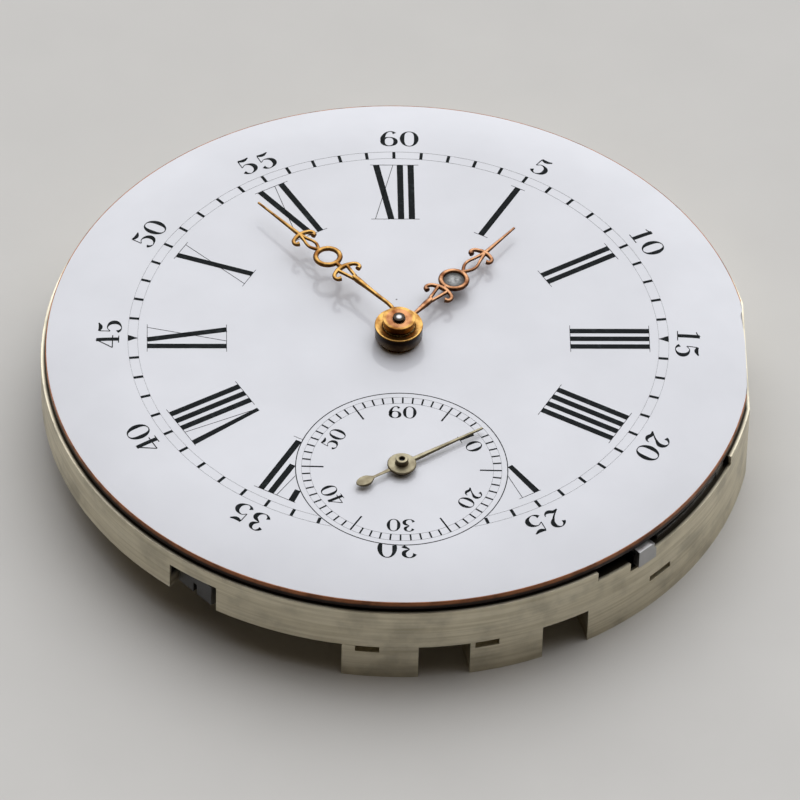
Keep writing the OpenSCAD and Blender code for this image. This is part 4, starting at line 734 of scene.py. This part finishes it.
def ring_filling(centre):
    """Old grey paste, darkened round its edge by painted shade next to the ring, and pale in the middle."""
    dark, grey, pale = (0.14, 0.14, 0.14, 1), (0.36, 0.37, 0.37, 1), (0.6, 0.6, 0.6, 1)
    painted_shade = (0.12, 0.11, 0.1, 1)
    material, shader = new_material("ring_filling", (0.3, 0.3, 0.3, 1), Roughness=0.55)
    grit = noise(material, 0.22, detail=4)
    speckled = ramp(material, grit, [(0.3, dark), (0.5, grey), (0.7, pale)])
    # Painted shade: the paste darkens from the middle towards the ring round it.
    away = progress(material, from_axis(material, centre), 0, 0.7)
    feed(material, shader,
         Base_Color=tinted(material, speckled, ramp(material, away, [(0.3, WHITE), (0.75, painted_shade)])),
         Normal=relief(material, grit, 0.05))
    return material


def frosted_nickel(colour):
    """Matt nickel silver, clouded, drawn along its rims, and blackened by painted shade inside, under the dial and
    on low ledges.
    """
    # The colour of the drawn lines, and the black of the painted shade.
    scratch, painted_shade_colour = (0.8, 0.78, 0.73, 1), (0.06, 0.055, 0.05, 1)
    material, shader = new_material("frosted_nickel", colour, Metallic=1.0)
    cloud = noise(material, 1.7, detail=6)
    lines = noise(material, 1, detail=5, stretch=(0.16, 0.16, 5))
    sand = noise(material, 0.09, detail=2)
    tarnish = ramp(material, cloud, [(0.32, shade(colour, 0.72)), (0.5, shade(colour, 0.92)), (0.68, colour)])
    drawn = ramp(material, lines, [(0.34, scratch), (0.6, WHITE)])

    # Painted shade: inside the rim, faces high under the dial and upward faces below the plate's underside are
    # blackened.
    place = mm_place(material)
    height = part_of(material, place, "Z")
    flat = maths(material, "ADD", part_of(material, place, "X"), PLATE_RADIUS - PLATE_FLAT)
    outward = maths(material, "MAXIMUM", from_axis(material), flat)
    steep = progress(material, part_of(material, surface_normal(material), "Z"), 0.6, 0.4)
    off_ledge = maths(material, "MAXIMUM", steep, progress(material, height, *LEDGE_FADE))
    open_air = maths(material, "MINIMUM", progress(material, height, *RECESS_FADE), off_ledge)
    unshaded = maths(material, "MAXIMUM", progress(material, outward, *RIM_FADE), open_air)
    painted_shade = ramp(material, unshaded, [(0, painted_shade_colour), (1, WHITE)])

    feed(material, shader,
         Base_Color=tinted(material, tinted(material, tarnish, drawn), painted_shade),
         Roughness=spread(material, lines, 0.4, 0.54),
         Normal=relief(material, sand, 0.003, relief(material, lines, 0.004, soft_edges(material, 0.05))))
    return material


def oxidised_copper(colour):
    """Red-brown copper, scaled and pitted by the firing of the enamel, and darker to black towards its lower edge.
    """
    lower_edge_black = (0.05, 0.045, 0.045, 1)
    material, shader = new_material("oxidised_copper", colour, Metallic=0.25)
    scale = noise(material, 0.9, detail=6)
    scaled = ramp(material, scale, [(0.34, shade(colour, 0.5)), (0.5, shade(colour, 0.85)), (0.68, colour)])
    # Darker towards the lower edge: black just above the seat.
    rise = progress(material, part_of(material, mm_place(material), "Z"), *SEAT_FADE)
    black = ramp(material, rise, [(0, lower_edge_black), (1, WHITE)])
    feed(material, shader,
         Base_Color=tinted(material, scaled, black),
         Roughness=spread(material, scale, 0.6, 0.4),
         Normal=relief(material, noise(material, 0.12), 0.012, soft_edges(material, 0.05)))
    return material


def fired_enamel(colour):
    """Glossy white enamel with a slow ripple, faint clouding and a few dark specks, shaded as if flatter."""
    speck, speck_spacing, levelling = (0.12, 0.11, 0.12, 1), 2.6, (0.5, 0.5, 1)
    material, shader = new_material("fired_enamel", colour, Roughness=0.13, IOR=1.52, Specular_IOR_Level=0.4)
    clouded = ramp(material, noise(material, 5), [(0.3, shade(colour, 0.95)), (0.7, shade(colour, 1.02))])
    cells = add_node(material, "ShaderNodeTexVoronoi", Vector=mm_place(material), Scale=1 / speck_spacing)
    specks = ramp(material, cells.outputs["Distance"], [(0.014, speck), (0.028, WHITE)])
    chance = add_node(material, "ShaderNodeSeparateColor", Color=cells.outputs["Color"]).outputs["Red"]
    chosen = ramp(material, chance, [(0.86, BLACK), (0.88, WHITE)])
    flatter = add_node(material, "ShaderNodeVectorMath", {"operation": "MULTIPLY"}, surface_normal(material),
                       levelling)
    level = add_node(material, "ShaderNodeVectorMath", {"operation": "NORMALIZE"}, flatter.outputs["Vector"])
    feed(material, shader,
         Base_Color=tinted(material, clouded, specks, chosen),
         Normal=relief(material, noise(material, 4, detail=2), 0.004, level.outputs["Vector"]))
    return material


def fired_ink(colour):
    """Black fired print, a little thin in places."""
    material, shader = new_material("fired_ink", colour, Roughness=0.5, Specular_IOR_Level=0.04)
    thin = noise(material, 0.35, detail=4)
    feed(material, shader, Base_Color=ramp(material, thin, [(0.55, colour), (0.8, shade(colour, 3.5))]))
    return material


def ruby_stone(colour):
    """Clear red ruby, clouded a little inside."""
    material, shader = new_material("ruby_stone", colour, Roughness=0.06, IOR=1.76, Transmission_Weight=0.55)
    cloud = noise(material, 0.4)
    feed(material, shader,
         Base_Color=ramp(material, cloud, [(0.3, shade(colour, 0.6)), (0.7, shade(colour, 1.25))]))
    return material


class WATCH_OT_metal_finish(bpy.types.Operator):
    """Give every part of the movement its finish"""

    bl_idname = "watch.metal_finish"
    bl_label = "Finish Metal and Jewels"

    def execute(self, context):
        colours = context.scene.watch_finish
        finishes = {
            "nickel": frosted_nickel(colours.nickel),
            # The gilt finishes paint shade down the sides of their pieces.
            "gilt": worn_gilt("yellow_gilt", colours.gilt, 0.32, GILT_PAINTED_SHADE, GILT_PATCH, MINUTE_RUBBED_RADIUS),
            "rose_gilt": worn_gilt("rose_gilt", colours.rose_gilt, 0.32, ROSE_PAINTED_SHADE, ROSE_PATCH),
            "soiled_gilt": worn_gilt("soiled_gilt", colours.gilt, 0.32, DARK_PAINTED_SHADE, GILT_PATCH),
            "pale_gilt": worn_gilt("dull_gilt", colours.pale_gilt, 0.5, DULL_PAINTED_SHADE, DULL_PATCH),
            "brass": metal("gilt_brass", colours.brass, 0.3, 0.1),
            "steel": metal("grained_steel", colours.steel, 0.36, 0.4, mottle=0.86, depth=0.0003),
            "tipped_steel": tipped_steel(colours.steel),
            "dark_steel": metal("dark_steel", shade(colours.steel, 0.3), 0.4, 0.1, mottle=0.6),
            "blued_steel": metal("tempered_steel", colours.blue, 0.22, 0.1, mottle=0.7),
            "copper": oxidised_copper(colours.copper),
            "ruby": ruby_stone(colours.ruby),
            "enamel": fired_enamel(context.scene.watch_dial.enamel_colour),
        }
        for part in frame["record"]["subparts"]:
            mesh = frame["nodes"][part["node"]].data
            mesh.materials.clear()
            mesh.materials.append(finishes[NODE_FINISHES.get(part["node"], part["material_slot"])])
        return {"FINISHED"}


class WATCH_OT_dial(bpy.types.Operator):
    """Build the enamel dial face"""

    bl_idname = "watch.dial"
    bl_label = "Build Dial Face"

    def execute(self, context):
        dial = context.scene.watch_dial
        top = ENAMEL_HIGH.z
        crown, hole, rim, edge = dial.crown_radius, dial.hole_radius, dial.edge_radius, dial.edge_round
        arc = ((rim - crown) ** 2 + dial.fall ** 2) / (2 * dial.fall)

        def height(radius):
            past = max(0, radius - crown)
            return top - arc + math.sqrt(arc ** 2 - past ** 2)

        flat = [hole + edge + (crown - hole - edge) * i / FLAT_STEPS for i in range(FLAT_STEPS)]
        slope = [crown + (rim - edge - crown) * i / FALL_STEPS for i in range(FALL_STEPS + 1)]
        over = [(radius, height(radius)) for radius in [*flat, *slope]]
        shoulder = [(rim - edge * (1 - math.sin(turn)), height(rim - edge) - edge * (1 - math.cos(turn)))
                    for turn in (math.radians(30), math.radians(60), math.radians(90))]
        under = [(radius, height(radius) - dial.enamel_thickness) for radius in [rim, *slope[::-UNDER_SKIP], hole]]
        lip = [(hole, top - edge), (hole + edge * LIP_SHARE, top - edge * LIP_SHARE)]
        face = turned("dial_face", CENTRE, [*over, *shoulder, *under, *lip], DIAL_SEGMENTS)

        edit_all(face)
        bpy.ops.mesh.bisect(plane_co=(ENAMEL_HIGH.x, 0, 0), plane_no=(1, 0, 0), clear_outer=True, use_fill=True)

        deselect()
        bpy.ops.mesh.primitive_cylinder_add(vertices=SECONDS_SEGMENTS, radius=dial.seconds_hole_radius,
                                            depth=DRILL_LENGTH, location=(*SECONDS_CENTRE, top))
        drill = bpy.context.object
        apply_modifier(face, "BOOLEAN", operation="DIFFERENCE", object=drill, solver="EXACT")
        bpy.data.objects.remove(drill)
        finish_piece(face, "frame", bpy.data.materials["fired_enamel"], ROUND_SMOOTH, ["dial_enamel"])
        return {"FINISHED"}


def print_ink(name, strokes, clear_of_seconds=True):
    """Prints (points, steps) strokes of (place, width) points on the dial, cut at the seconds ring or not."""
    dial = bpy.context.scene.watch_dial
    curve = new_curve(name)
    for points, steps in strokes:
        add_stroke(curve, [(*place, ENAMEL_HIGH.z + PRINT_ABOVE, width) for place, width in points], steps)
    piece = swept(curve, [(-0.5, 0), (0.5, 0)], closed_section=False)
    edit_only(piece, "polygons", lambda face: face.normal.z < 0)
    bpy.ops.mesh.flip_normals()
    if clear_of_seconds:
        edit_only(piece, "vertices", lambda vertex: (vertex.co.xy - SECONDS_CENTRE).length < dial.seconds_ring)
        bpy.ops.mesh.select_mode(type="VERT")
        bpy.ops.mesh.delete(type="VERT")
    apply_modifier(piece, "SHRINKWRAP", target=bpy.data.objects["dial_face"], wrap_method="PROJECT",
                   use_project_z=True, use_negative_direction=True, use_positive_direction=False)
    apply_modifier(piece, "SOLIDIFY", thickness=dial.ink_lift, offset=1)
    finish_piece(piece, "frame", bpy.data.materials["fired_ink"], PRINT_SMOOTH)


def ring_stroke(centre, radius, pen):
    """The stroke of a closed ring."""
    turns = [2 * math.pi * i / RING_KNOTS for i in range(RING_KNOTS + 1)]
    return [(clock_place(centre, turn)(0, radius), pen) for turn in turns], LINE_STEPS


def figure_strokes(text, centre, clock, inner, outer, drop=0.0):
    """Strokes of a row of figures that stand on a radius, heads outward; a last 5 hangs lower by a share."""
    place = clock_place(centre, clock)
    tall = outer - inner
    left = -FIGURE_ADVANCE * len(text) / 2
    strokes = []
    for i, figure in enumerate(text):
        foot = -drop if figure == "5" and i else 0
        for stroke in FIGURES[figure]:
            points = [(place((left + FIGURE_ADVANCE * i + FIGURE_STRETCH * x) * tall, inner + (y + foot) * tall),
                       width * tall) for x, y, width in stroke]
            strokes.append((points, FIGURE_STEPS))
    return strokes


def roman_strokes(text, clock, inner, outer):
    """Strokes of a Roman hour, heads outward, with hairline serifs along heads and feet."""
    place = clock_place(CENTRE, clock)
    tall = outer - inner
    at = -sum(ROMAN_LETTERS[letter][0] for letter in text) / 2
    strokes = []
    for letter in text:
        wide, footed, lines = ROMAN_LETTERS[letter]
        for line in lines:
            points = [(place((at + wide / 2 + x) * tall, inner + y * tall), width * tall) for x, y, width in line]
            strokes.append((points, ROMAN_STEPS))
        ends = ((at - ROMAN_SERIF_REACH) * tall, (at + wide + ROMAN_SERIF_REACH) * tall)
        for radius in (inner, outer) if footed else (outer,):
            strokes.append(([(place(end, radius), ROMAN_SERIF_PEN * tall) for end in ends], SERIF_STEPS))
        at += wide
    return strokes


class WATCH_OT_dial_print(bpy.types.Operator):
    """Print the hours, the minute track and the seconds dial"""

    bl_idname = "watch.dial_print"
    bl_label = "Print Dial"

    def minute_track(self, dial):
        """Strokes of two rings with a tick for each minute, wedges at the side quarters."""
        track = [ring_stroke(CENTRE, radius, HAIRLINE) for radius in (dial.track_inner, dial.track_outer)]
        for count in range(60):
            place = clock_place(CENTRE, count * MINUTE)
            head, foot = (QUARTER_HEAD, QUARTER_FOOT) if count in (15, 45) else (1, 1)
            ends = [(place(0, dial.track_inner), foot * TICK_PEN), (place(0, dial.track_outer), head * TICK_PEN)]
            track.append((ends, TICK_STEPS))
        return track

    def seconds_print(self, dial):
        """Strokes of the seconds dial's rings, ticks and figures."""
        inner, outer = dial.seconds_track_inner, dial.seconds_track_outer
        strokes = [ring_stroke(SECONDS_CENTRE, radius, pen)
                   for radius, pen in ((dial.seconds_ring, RING_PEN), (inner, HAIRLINE), (outer, HAIRLINE))]
        for count in range(60):
            place = clock_place(SECONDS_CENTRE, count * MINUTE + dial.seconds_turn)
            foot = inner - SECONDS_TICK_REACH if count % 10 == 5 else inner
            strokes.append(([(place(0, end), SECONDS_TICK_PEN) for end in (foot, outer)], LINE_STEPS))
        for count in range(10, 61, 10):
            strokes += figure_strokes(str(count), SECONDS_CENTRE, count * MINUTE + dial.seconds_turn,
                                      dial.seconds_figure_inner, dial.seconds_figure_outer)
        return strokes

    def execute(self, context):
        dial = context.scene.watch_dial
        fired_ink(dial.ink_colour)
        hours = [stroke for hour, text in enumerate(ROMAN_HOURS) if text
                 for stroke in roman_strokes(text, 5 * hour * MINUTE, dial.hour_inner, dial.hour_outer)]
        figures = [stroke for count in range(5, 61, 5)
                   for stroke in figure_strokes(str(count), CENTRE, count * MINUTE + dial.figure_turn,
                                                dial.figure_inner, dial.figure_outer, FIVE_DROP)]
        print_ink("hour_numerals", hours)
        print_ink("minute_figures", figures)
        print_ink("minute_track", self.minute_track(dial))
        print_ink("seconds_print", self.seconds_print(dial), clear_of_seconds=False)
        return {"FINISHED"}


def scroll_hand(name, clock, offset, fork, bar, eye, barb, length, ring, loop, level, drop):
    """A pierced hand: a stem that forks to a curled cross bar, a ring, a small loop, a barb and a needle."""
    place = clock_place(CENTRE, clock)
    curve = new_curve(name)

    def knot(along, across, width):
        return (*place(across + offset, along), level - drop * along / length, width * MM)

    def curled_bar(at, reach):
        """A bar across the hand whose two ends curl back towards the axis."""
        left, right = ([knot(at + along * reach, side * across * reach, width)
                        for along, across, width in BAR_END] for side in (1, -1))
        add_stroke(curve, [*left, knot(at, 0, BAR_MIDDLE), *right[::-1]])

    add_stroke(curve, [knot(0.55 * MM, -offset * 0.5, 0.3), knot(1.2 * MM, -offset * 0.06, 0.27),
                       knot(fork / 2 + 0.4 * MM, 0, 0.27), knot(fork - 0.5 * MM, 0, 0.34), knot(fork, 0, 0.4),
                       knot(fork + 0.4 * MM, 0, 0.34)])
    for side in (-1, 1):
        add_stroke(curve, [knot(fork - 0.1 * MM, side * 0.03 * MM, 0.24),
                           knot((fork + bar) / 2, side * 0.2 * MM, 0.22), knot(bar, side * 0.36 * MM, 0.24)])
    curled_bar(bar, BAR_REACH)
    add_stroke(curve, [knot(bar, 0, 0.3), knot(eye - ring, 0, 0.26)], JOINT_STEPS)
    turns = [math.radians(turn) for turn in range(0, 361, 30)]
    add_stroke(curve, [knot(eye + ring * math.cos(turn), ring * math.sin(turn), 0.33) for turn in turns],
               JOINT_STEPS)
    near = eye + ring
    add_stroke(curve, [knot(near, 0, 0.3), knot(near + 0.22 * MM, 0, 0.28)], JOINT_STEPS)
    for side in (-1, 1):
        add_stroke(curve, [knot(near + 0.1 * MM, 0, 0.24), knot(near + (barb - near) * 0.36, side * loop, 0.2),
                           knot(near + (barb - near) * 0.72, side * loop * 0.5, 0.2), knot(barb, 0, 0.26)])
    curled_bar(barb, BARB_REACH)
    add_stroke(curve, [knot(barb, 0, 0.27), knot((barb + length) / 2, 0, 0.2), knot(length, 0, 0.15)])
    return swept(curve, WIRE_SECTION)


class WATCH_OT_hands(bpy.types.Operator):
    """Build the hour, minute and seconds hands"""

    bl_idname = "watch.hands"
    bl_label = "Build Hands"

    def hour_hand(self, hands):
        """A rose blade with paste in its ring, on a tall boss darkened down its sides by painted shade."""
        low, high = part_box("hour_hand")
        level = low.z + HOUR_LEVEL
        blade = scroll_hand("hour_hand_gilt", hands.hour_clock, 0, hands.hour_fork, hands.hour_bar, hands.hour_eye,
                            hands.hour_barb, hands.hour_length, HOUR_RING, HOUR_LOOP, level, hands.hour_drop)
        finish_piece(blade, "hour_body", bpy.data.materials["rose_gilt"], ROUND_SMOOTH, ["hour_hand"])
        boss = turned("hour_hand_boss", CENTRE, [*risen(HOUR_BOSS_FOOT, low.z), *risen(HOUR_BOSS_HEAD, high.z)])
        # The boss's sides are darkened by the darkest painted shade.
        finish_piece(boss, "hour_body", bpy.data.materials["soiled_gilt"], ROUND_SMOOTH)
        spot = clock_place(CENTRE, hands.hour_clock)(0, hands.hour_eye)
        level -= hands.hour_drop * hands.hour_eye / hands.hour_length
        filling = turned("hour_hand_filling", spot, risen(HOUR_RING_FILLING, level), FILLING_SEGMENTS)
        finish_piece(filling, "hour_body", ring_filling(spot), ROUND_SMOOTH)

    def minute_hand(self, hands):
        """A yellow blade on a low boss, rubbed to copper on top."""
        low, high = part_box("minute_hand")
        gilt = bpy.data.materials["yellow_gilt"]
        blade = scroll_hand("minute_hand_gilt", hands.minute_clock, hands.minute_offset, hands.minute_fork,
                            hands.minute_bar, hands.minute_eye, hands.minute_barb, hands.minute_length,
                            MINUTE_RING, MINUTE_LOOP, low.z + MINUTE_LEVEL, hands.minute_drop)
        finish_piece(blade, "centre_arbor_body", gilt, ROUND_SMOOTH, ["minute_hand"])
        boss = turned("minute_hand_boss", CENTRE, [*risen(MINUTE_BOSS_FOOT, low.z),
                                                   *risen(MINUTE_BOSS_HEAD, high.z)])
        finish_piece(boss, "centre_arbor_body", gilt, ROUND_SMOOTH)

    def seconds_hand(self, hands):
        """A ridged needle with an oval tail on a flat disc and a pierced pipe."""
        low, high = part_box("seconds_hand")
        disc = high.z - SECONDS_DISC_DROP
        place = clock_place(SECONDS_CENTRE, hands.seconds_clock)

        def knot(along, width):
            return (*place(0, along), disc + SECONDS_BLADE_RISE, width * MM)

        curve = new_curve("seconds_hand_blade")
        add_stroke(curve, [knot(0.6 * MM, 0.4), knot(hands.seconds_length / 2, 0.29),
                           knot(hands.seconds_length, 0.19)])
        blade = swept(curve, RIDGE_SECTION)
        start, width = SECONDS_TAIL_START
        curve = new_curve("seconds_hand_tail")
        add_stroke(curve, [knot(start * MM, width), *(knot(along * MM - hands.seconds_tail, width)
                                                      for along, width in SECONDS_LEAF)], LEAF_STEPS)
        leaf = swept(curve, LEAF_SECTION)
        boss = turned("seconds_hand_boss", SECONDS_CENTRE, [
            *risen(SECONDS_PIPE_FOOT, low.z), *risen(SECONDS_DISC, disc), *risen(SECONDS_PIPE_HEAD, high.z)],
            SECONDS_SEGMENTS)
        hand = join("seconds_hand_gilt", [boss, blade, leaf])
        finish_piece(hand, "fourth_body", bpy.data.materials["dull_gilt"], FLAT_SMOOTH,
                     ["seconds_hand"])

    def execute(self, context):
        hands = context.scene.watch_hands
        self.hour_hand(hands)
        self.minute_hand(hands)
        self.seconds_hand(hands)
        return {"FINISHED"}


class WATCH_OT_springs(bpy.types.Operator):
    """Wind the hairspring and the mainspring"""

    bl_idname = "watch.springs"
    bl_label = "Wind Springs"

    def ends(self, node, axis, strip):
        """The inner radius, the outer radius and the turn of the outer end of a CAD spring."""
        spots = [vertex.co.xy - axis for vertex in frame["nodes"][node].data.vertices]
        outer = max(spots, key=lambda spot: spot.length)
        inner = min(spot.length for spot in spots)
        return inner + strip / 2, outer.length - strip / 2, math.atan2(outer.y, outer.x)

    def wind(self, name, body, axis, knots, strip, node, replaced=()):
        """Winds a flat strip as high as a CAD spring through (radius, turn) knots round an axis."""
        low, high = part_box(node)
        middle = (low.z + high.z) / 2
        spots = []
        for (start, first), (stop, last) in zip(knots, knots[1:]):
            count = round((last - first) / WINDING_STEP)
            spots += [(start + (stop - start) * i / count, first + (last - first) * i / count)
                      for i in range(count)]
        curve = new_curve(name)
        add_stroke(curve, [(axis.x + radius * math.cos(turn), axis.y + radius * math.sin(turn), middle, strip)
                           for radius, turn in [*spots, knots[-1]]], SPRING_STEPS)
        tall = (high.z - low.z) / strip / 2
        piece = swept(curve, [(-0.5, -tall), (0.5, -tall), (0.5, tall), (-0.5, tall)])
        finish_piece(piece, body, bpy.data.materials["tempered_steel"], FLAT_SMOOTH, replaced)

    def hairspring(self, springs):
        """A coil that swings with the balance and a fixed end that runs between the pins to the stud."""
        axis = JOINT_AT["balance_swing"].xy
        strip, clear = springs.hairspring_strip, springs.hairspring_swing_radius
        inner, outer, end = self.ends("hairspring", axis, strip)
        fixed, pins = end - FIXED_TURN, end - PIN_TURN
        self.wind("hairspring_coil", "balance_body", axis,
                  [(inner, fixed - 2 * math.pi * springs.hairspring_turns), (clear, fixed)], strip,
                  "hairspring", ["hairspring"])
        self.wind("hairspring_end", "frame", axis,
                  [(clear + strip, fixed), (springs.hairspring_pin_radius - strip, pins - PIN_APPROACH),
                   (springs.hairspring_pin_radius, pins), (outer, end)], strip, "hairspring")

    def mainspring(self, springs):
        """A coil that fills the barrel from the arbor to the drum."""
        axis = JOINT_AT["barrel_turn"].xy
        strip = springs.mainspring_strip
        inner, outer, end = self.ends("mainspring", axis, strip)
        self.wind("mainspring_coil", "barrel_body", axis,
                  [(inner, end - 2 * math.pi * springs.mainspring_turns), (outer, end)], strip, "mainspring",
                  ["mainspring"])

    def execute(self, context):
        self.hairspring(context.scene.watch_springs)
        self.mainspring(context.scene.watch_springs)
        return {"FINISHED"}


class WATCH_OT_stage(bpy.types.Operator):
    """Set the floor, the sky and the camera"""

    bl_idname = "watch.stage"
    bl_label = "Set Stage"

    def floor(self, colour):
        """A pale matt floor with a soft mottle."""
        deselect()
        bpy.ops.mesh.primitive_plane_add(size=FLOOR_SIZE, location=(0, 0, CAD_BOX[0][2]))
        floor = bpy.context.object
        floor.name = "floor"
        bpy.ops.object.transform_apply(location=True, rotation=True, scale=True)
        material, shader = new_material("floor_paper", colour, Roughness=0.7)
        cloud = noise(material, 6, detail=4)
        feed(material, shader, Base_Color=ramp(material, cloud, [(0.3, shade(colour, 0.97)), (0.7, colour)]))
        floor.data.materials.append(material)

    def sky(self, stage):
        """Soft light that is brightest from one side above and fades smoothly to the other."""
        world = bpy.data.worlds.new("studio")
        world.use_nodes = True
        towards = add_node(world, "ShaderNodeVectorMath", {"operation": "DOT_PRODUCT"},
                           add_node(world, "ShaderNodeTexCoord").outputs["Generated"],
                           Vector(stage.sky_side).normalized())
        bright = add_node(world, "ShaderNodeMapRange", {"interpolation_type": "SMOOTHSTEP"},
                          Value=towards.outputs["Value"], From_Min=stage.sky_edge, From_Max=1).outputs["Result"]
        strength = add_node(world, "ShaderNodeMapRange", Value=bright, To_Min=stage.sky_low, To_Max=stage.sky_high)
        feed(world, world.node_tree.nodes["Background"],
             Color=ramp(world, bright, [(0, stage.dim_colour), (0.4, stage.bright_colour)]),
             Strength=strength.outputs["Result"])
        return world

    def camera(self, stage):
        """A long lens at the angle of the photograph."""
        up_turn, side_turn = stage.elevation, stage.azimuth
        back = Vector((math.sin(side_turn) * math.cos(up_turn), -math.cos(side_turn) * math.cos(up_turn),
                       math.sin(up_turn)))
        right = Vector((math.cos(side_turn), math.sin(side_turn), 0))
        up = back.cross(right)
        rolled_right = math.cos(stage.roll) * right + math.sin(stage.roll) * up
        rolled_up = math.cos(stage.roll) * up - math.sin(stage.roll) * right
        lens = bpy.data.cameras.new("camera")
        lens.sensor_width = SENSOR_WIDTH
        lens.lens = stage.lens
        lens.clip_start = CLIP_START
        lens.clip_end = CLIP_END
        camera = bpy.data.objects.new("camera", lens)
        camera.matrix_world = Matrix.Translation(Vector(stage.target) + back * stage.distance) @ Matrix(
            (rolled_right, rolled_up, back)).transposed().to_4x4()
        bpy.context.scene.collection.objects.link(camera)
        bpy.context.scene.camera = camera

    def execute(self, context):
        stage = context.scene.watch_stage
        self.floor(stage.floor_colour)
        context.scene.world = self.sky(stage)
        context.scene.view_settings.view_transform = "Standard"
        self.camera(stage)
        return {"FINISHED"}


STEPS = [WATCH_OT_metal_finish, WATCH_OT_dial, WATCH_OT_dial_print, WATCH_OT_hands, WATCH_OT_springs,
         WATCH_OT_stage]


class WATCH_PT_panel(bpy.types.Panel):
    """Lists the steps that dress the movement"""

    bl_idname = "WATCH_PT_panel"
    bl_label = "Watch Movement"
    bl_space_type = "VIEW_3D"
    bl_region_type = "UI"
    bl_category = "Watch"

    def draw(self, context):
        for step in STEPS:
            self.layout.operator(step.bl_idname)


GROUPS = {
    "watch_dial": DialSettings,
    "watch_hands": HandSettings,
    "watch_springs": SpringSettings,
    "watch_finish": FinishSettings,
    "watch_stage": StageSettings,
}


def register():
    for name, group in GROUPS.items():
        bpy.utils.register_class(group)
        setattr(bpy.types.Scene, name, PointerProperty(type=group))
    for step in [*STEPS, WATCH_PT_panel]:
        bpy.utils.register_class(step)


def unregister():
    for step in [WATCH_PT_panel, *reversed(STEPS)]:
        bpy.utils.unregister_class(step)
    for name, group in reversed(GROUPS.items()):
        delattr(bpy.types.Scene, name)
        bpy.utils.unregister_class(group)


def main():
    register()
    bpy.ops.watch.metal_finish()
    bpy.ops.watch.dial()
    bpy.ops.watch.dial_print()
    bpy.ops.watch.hands()
    bpy.ops.watch.springs()
    bpy.ops.watch.stage()
    deselect()


if __name__ == "__main__":
    main()
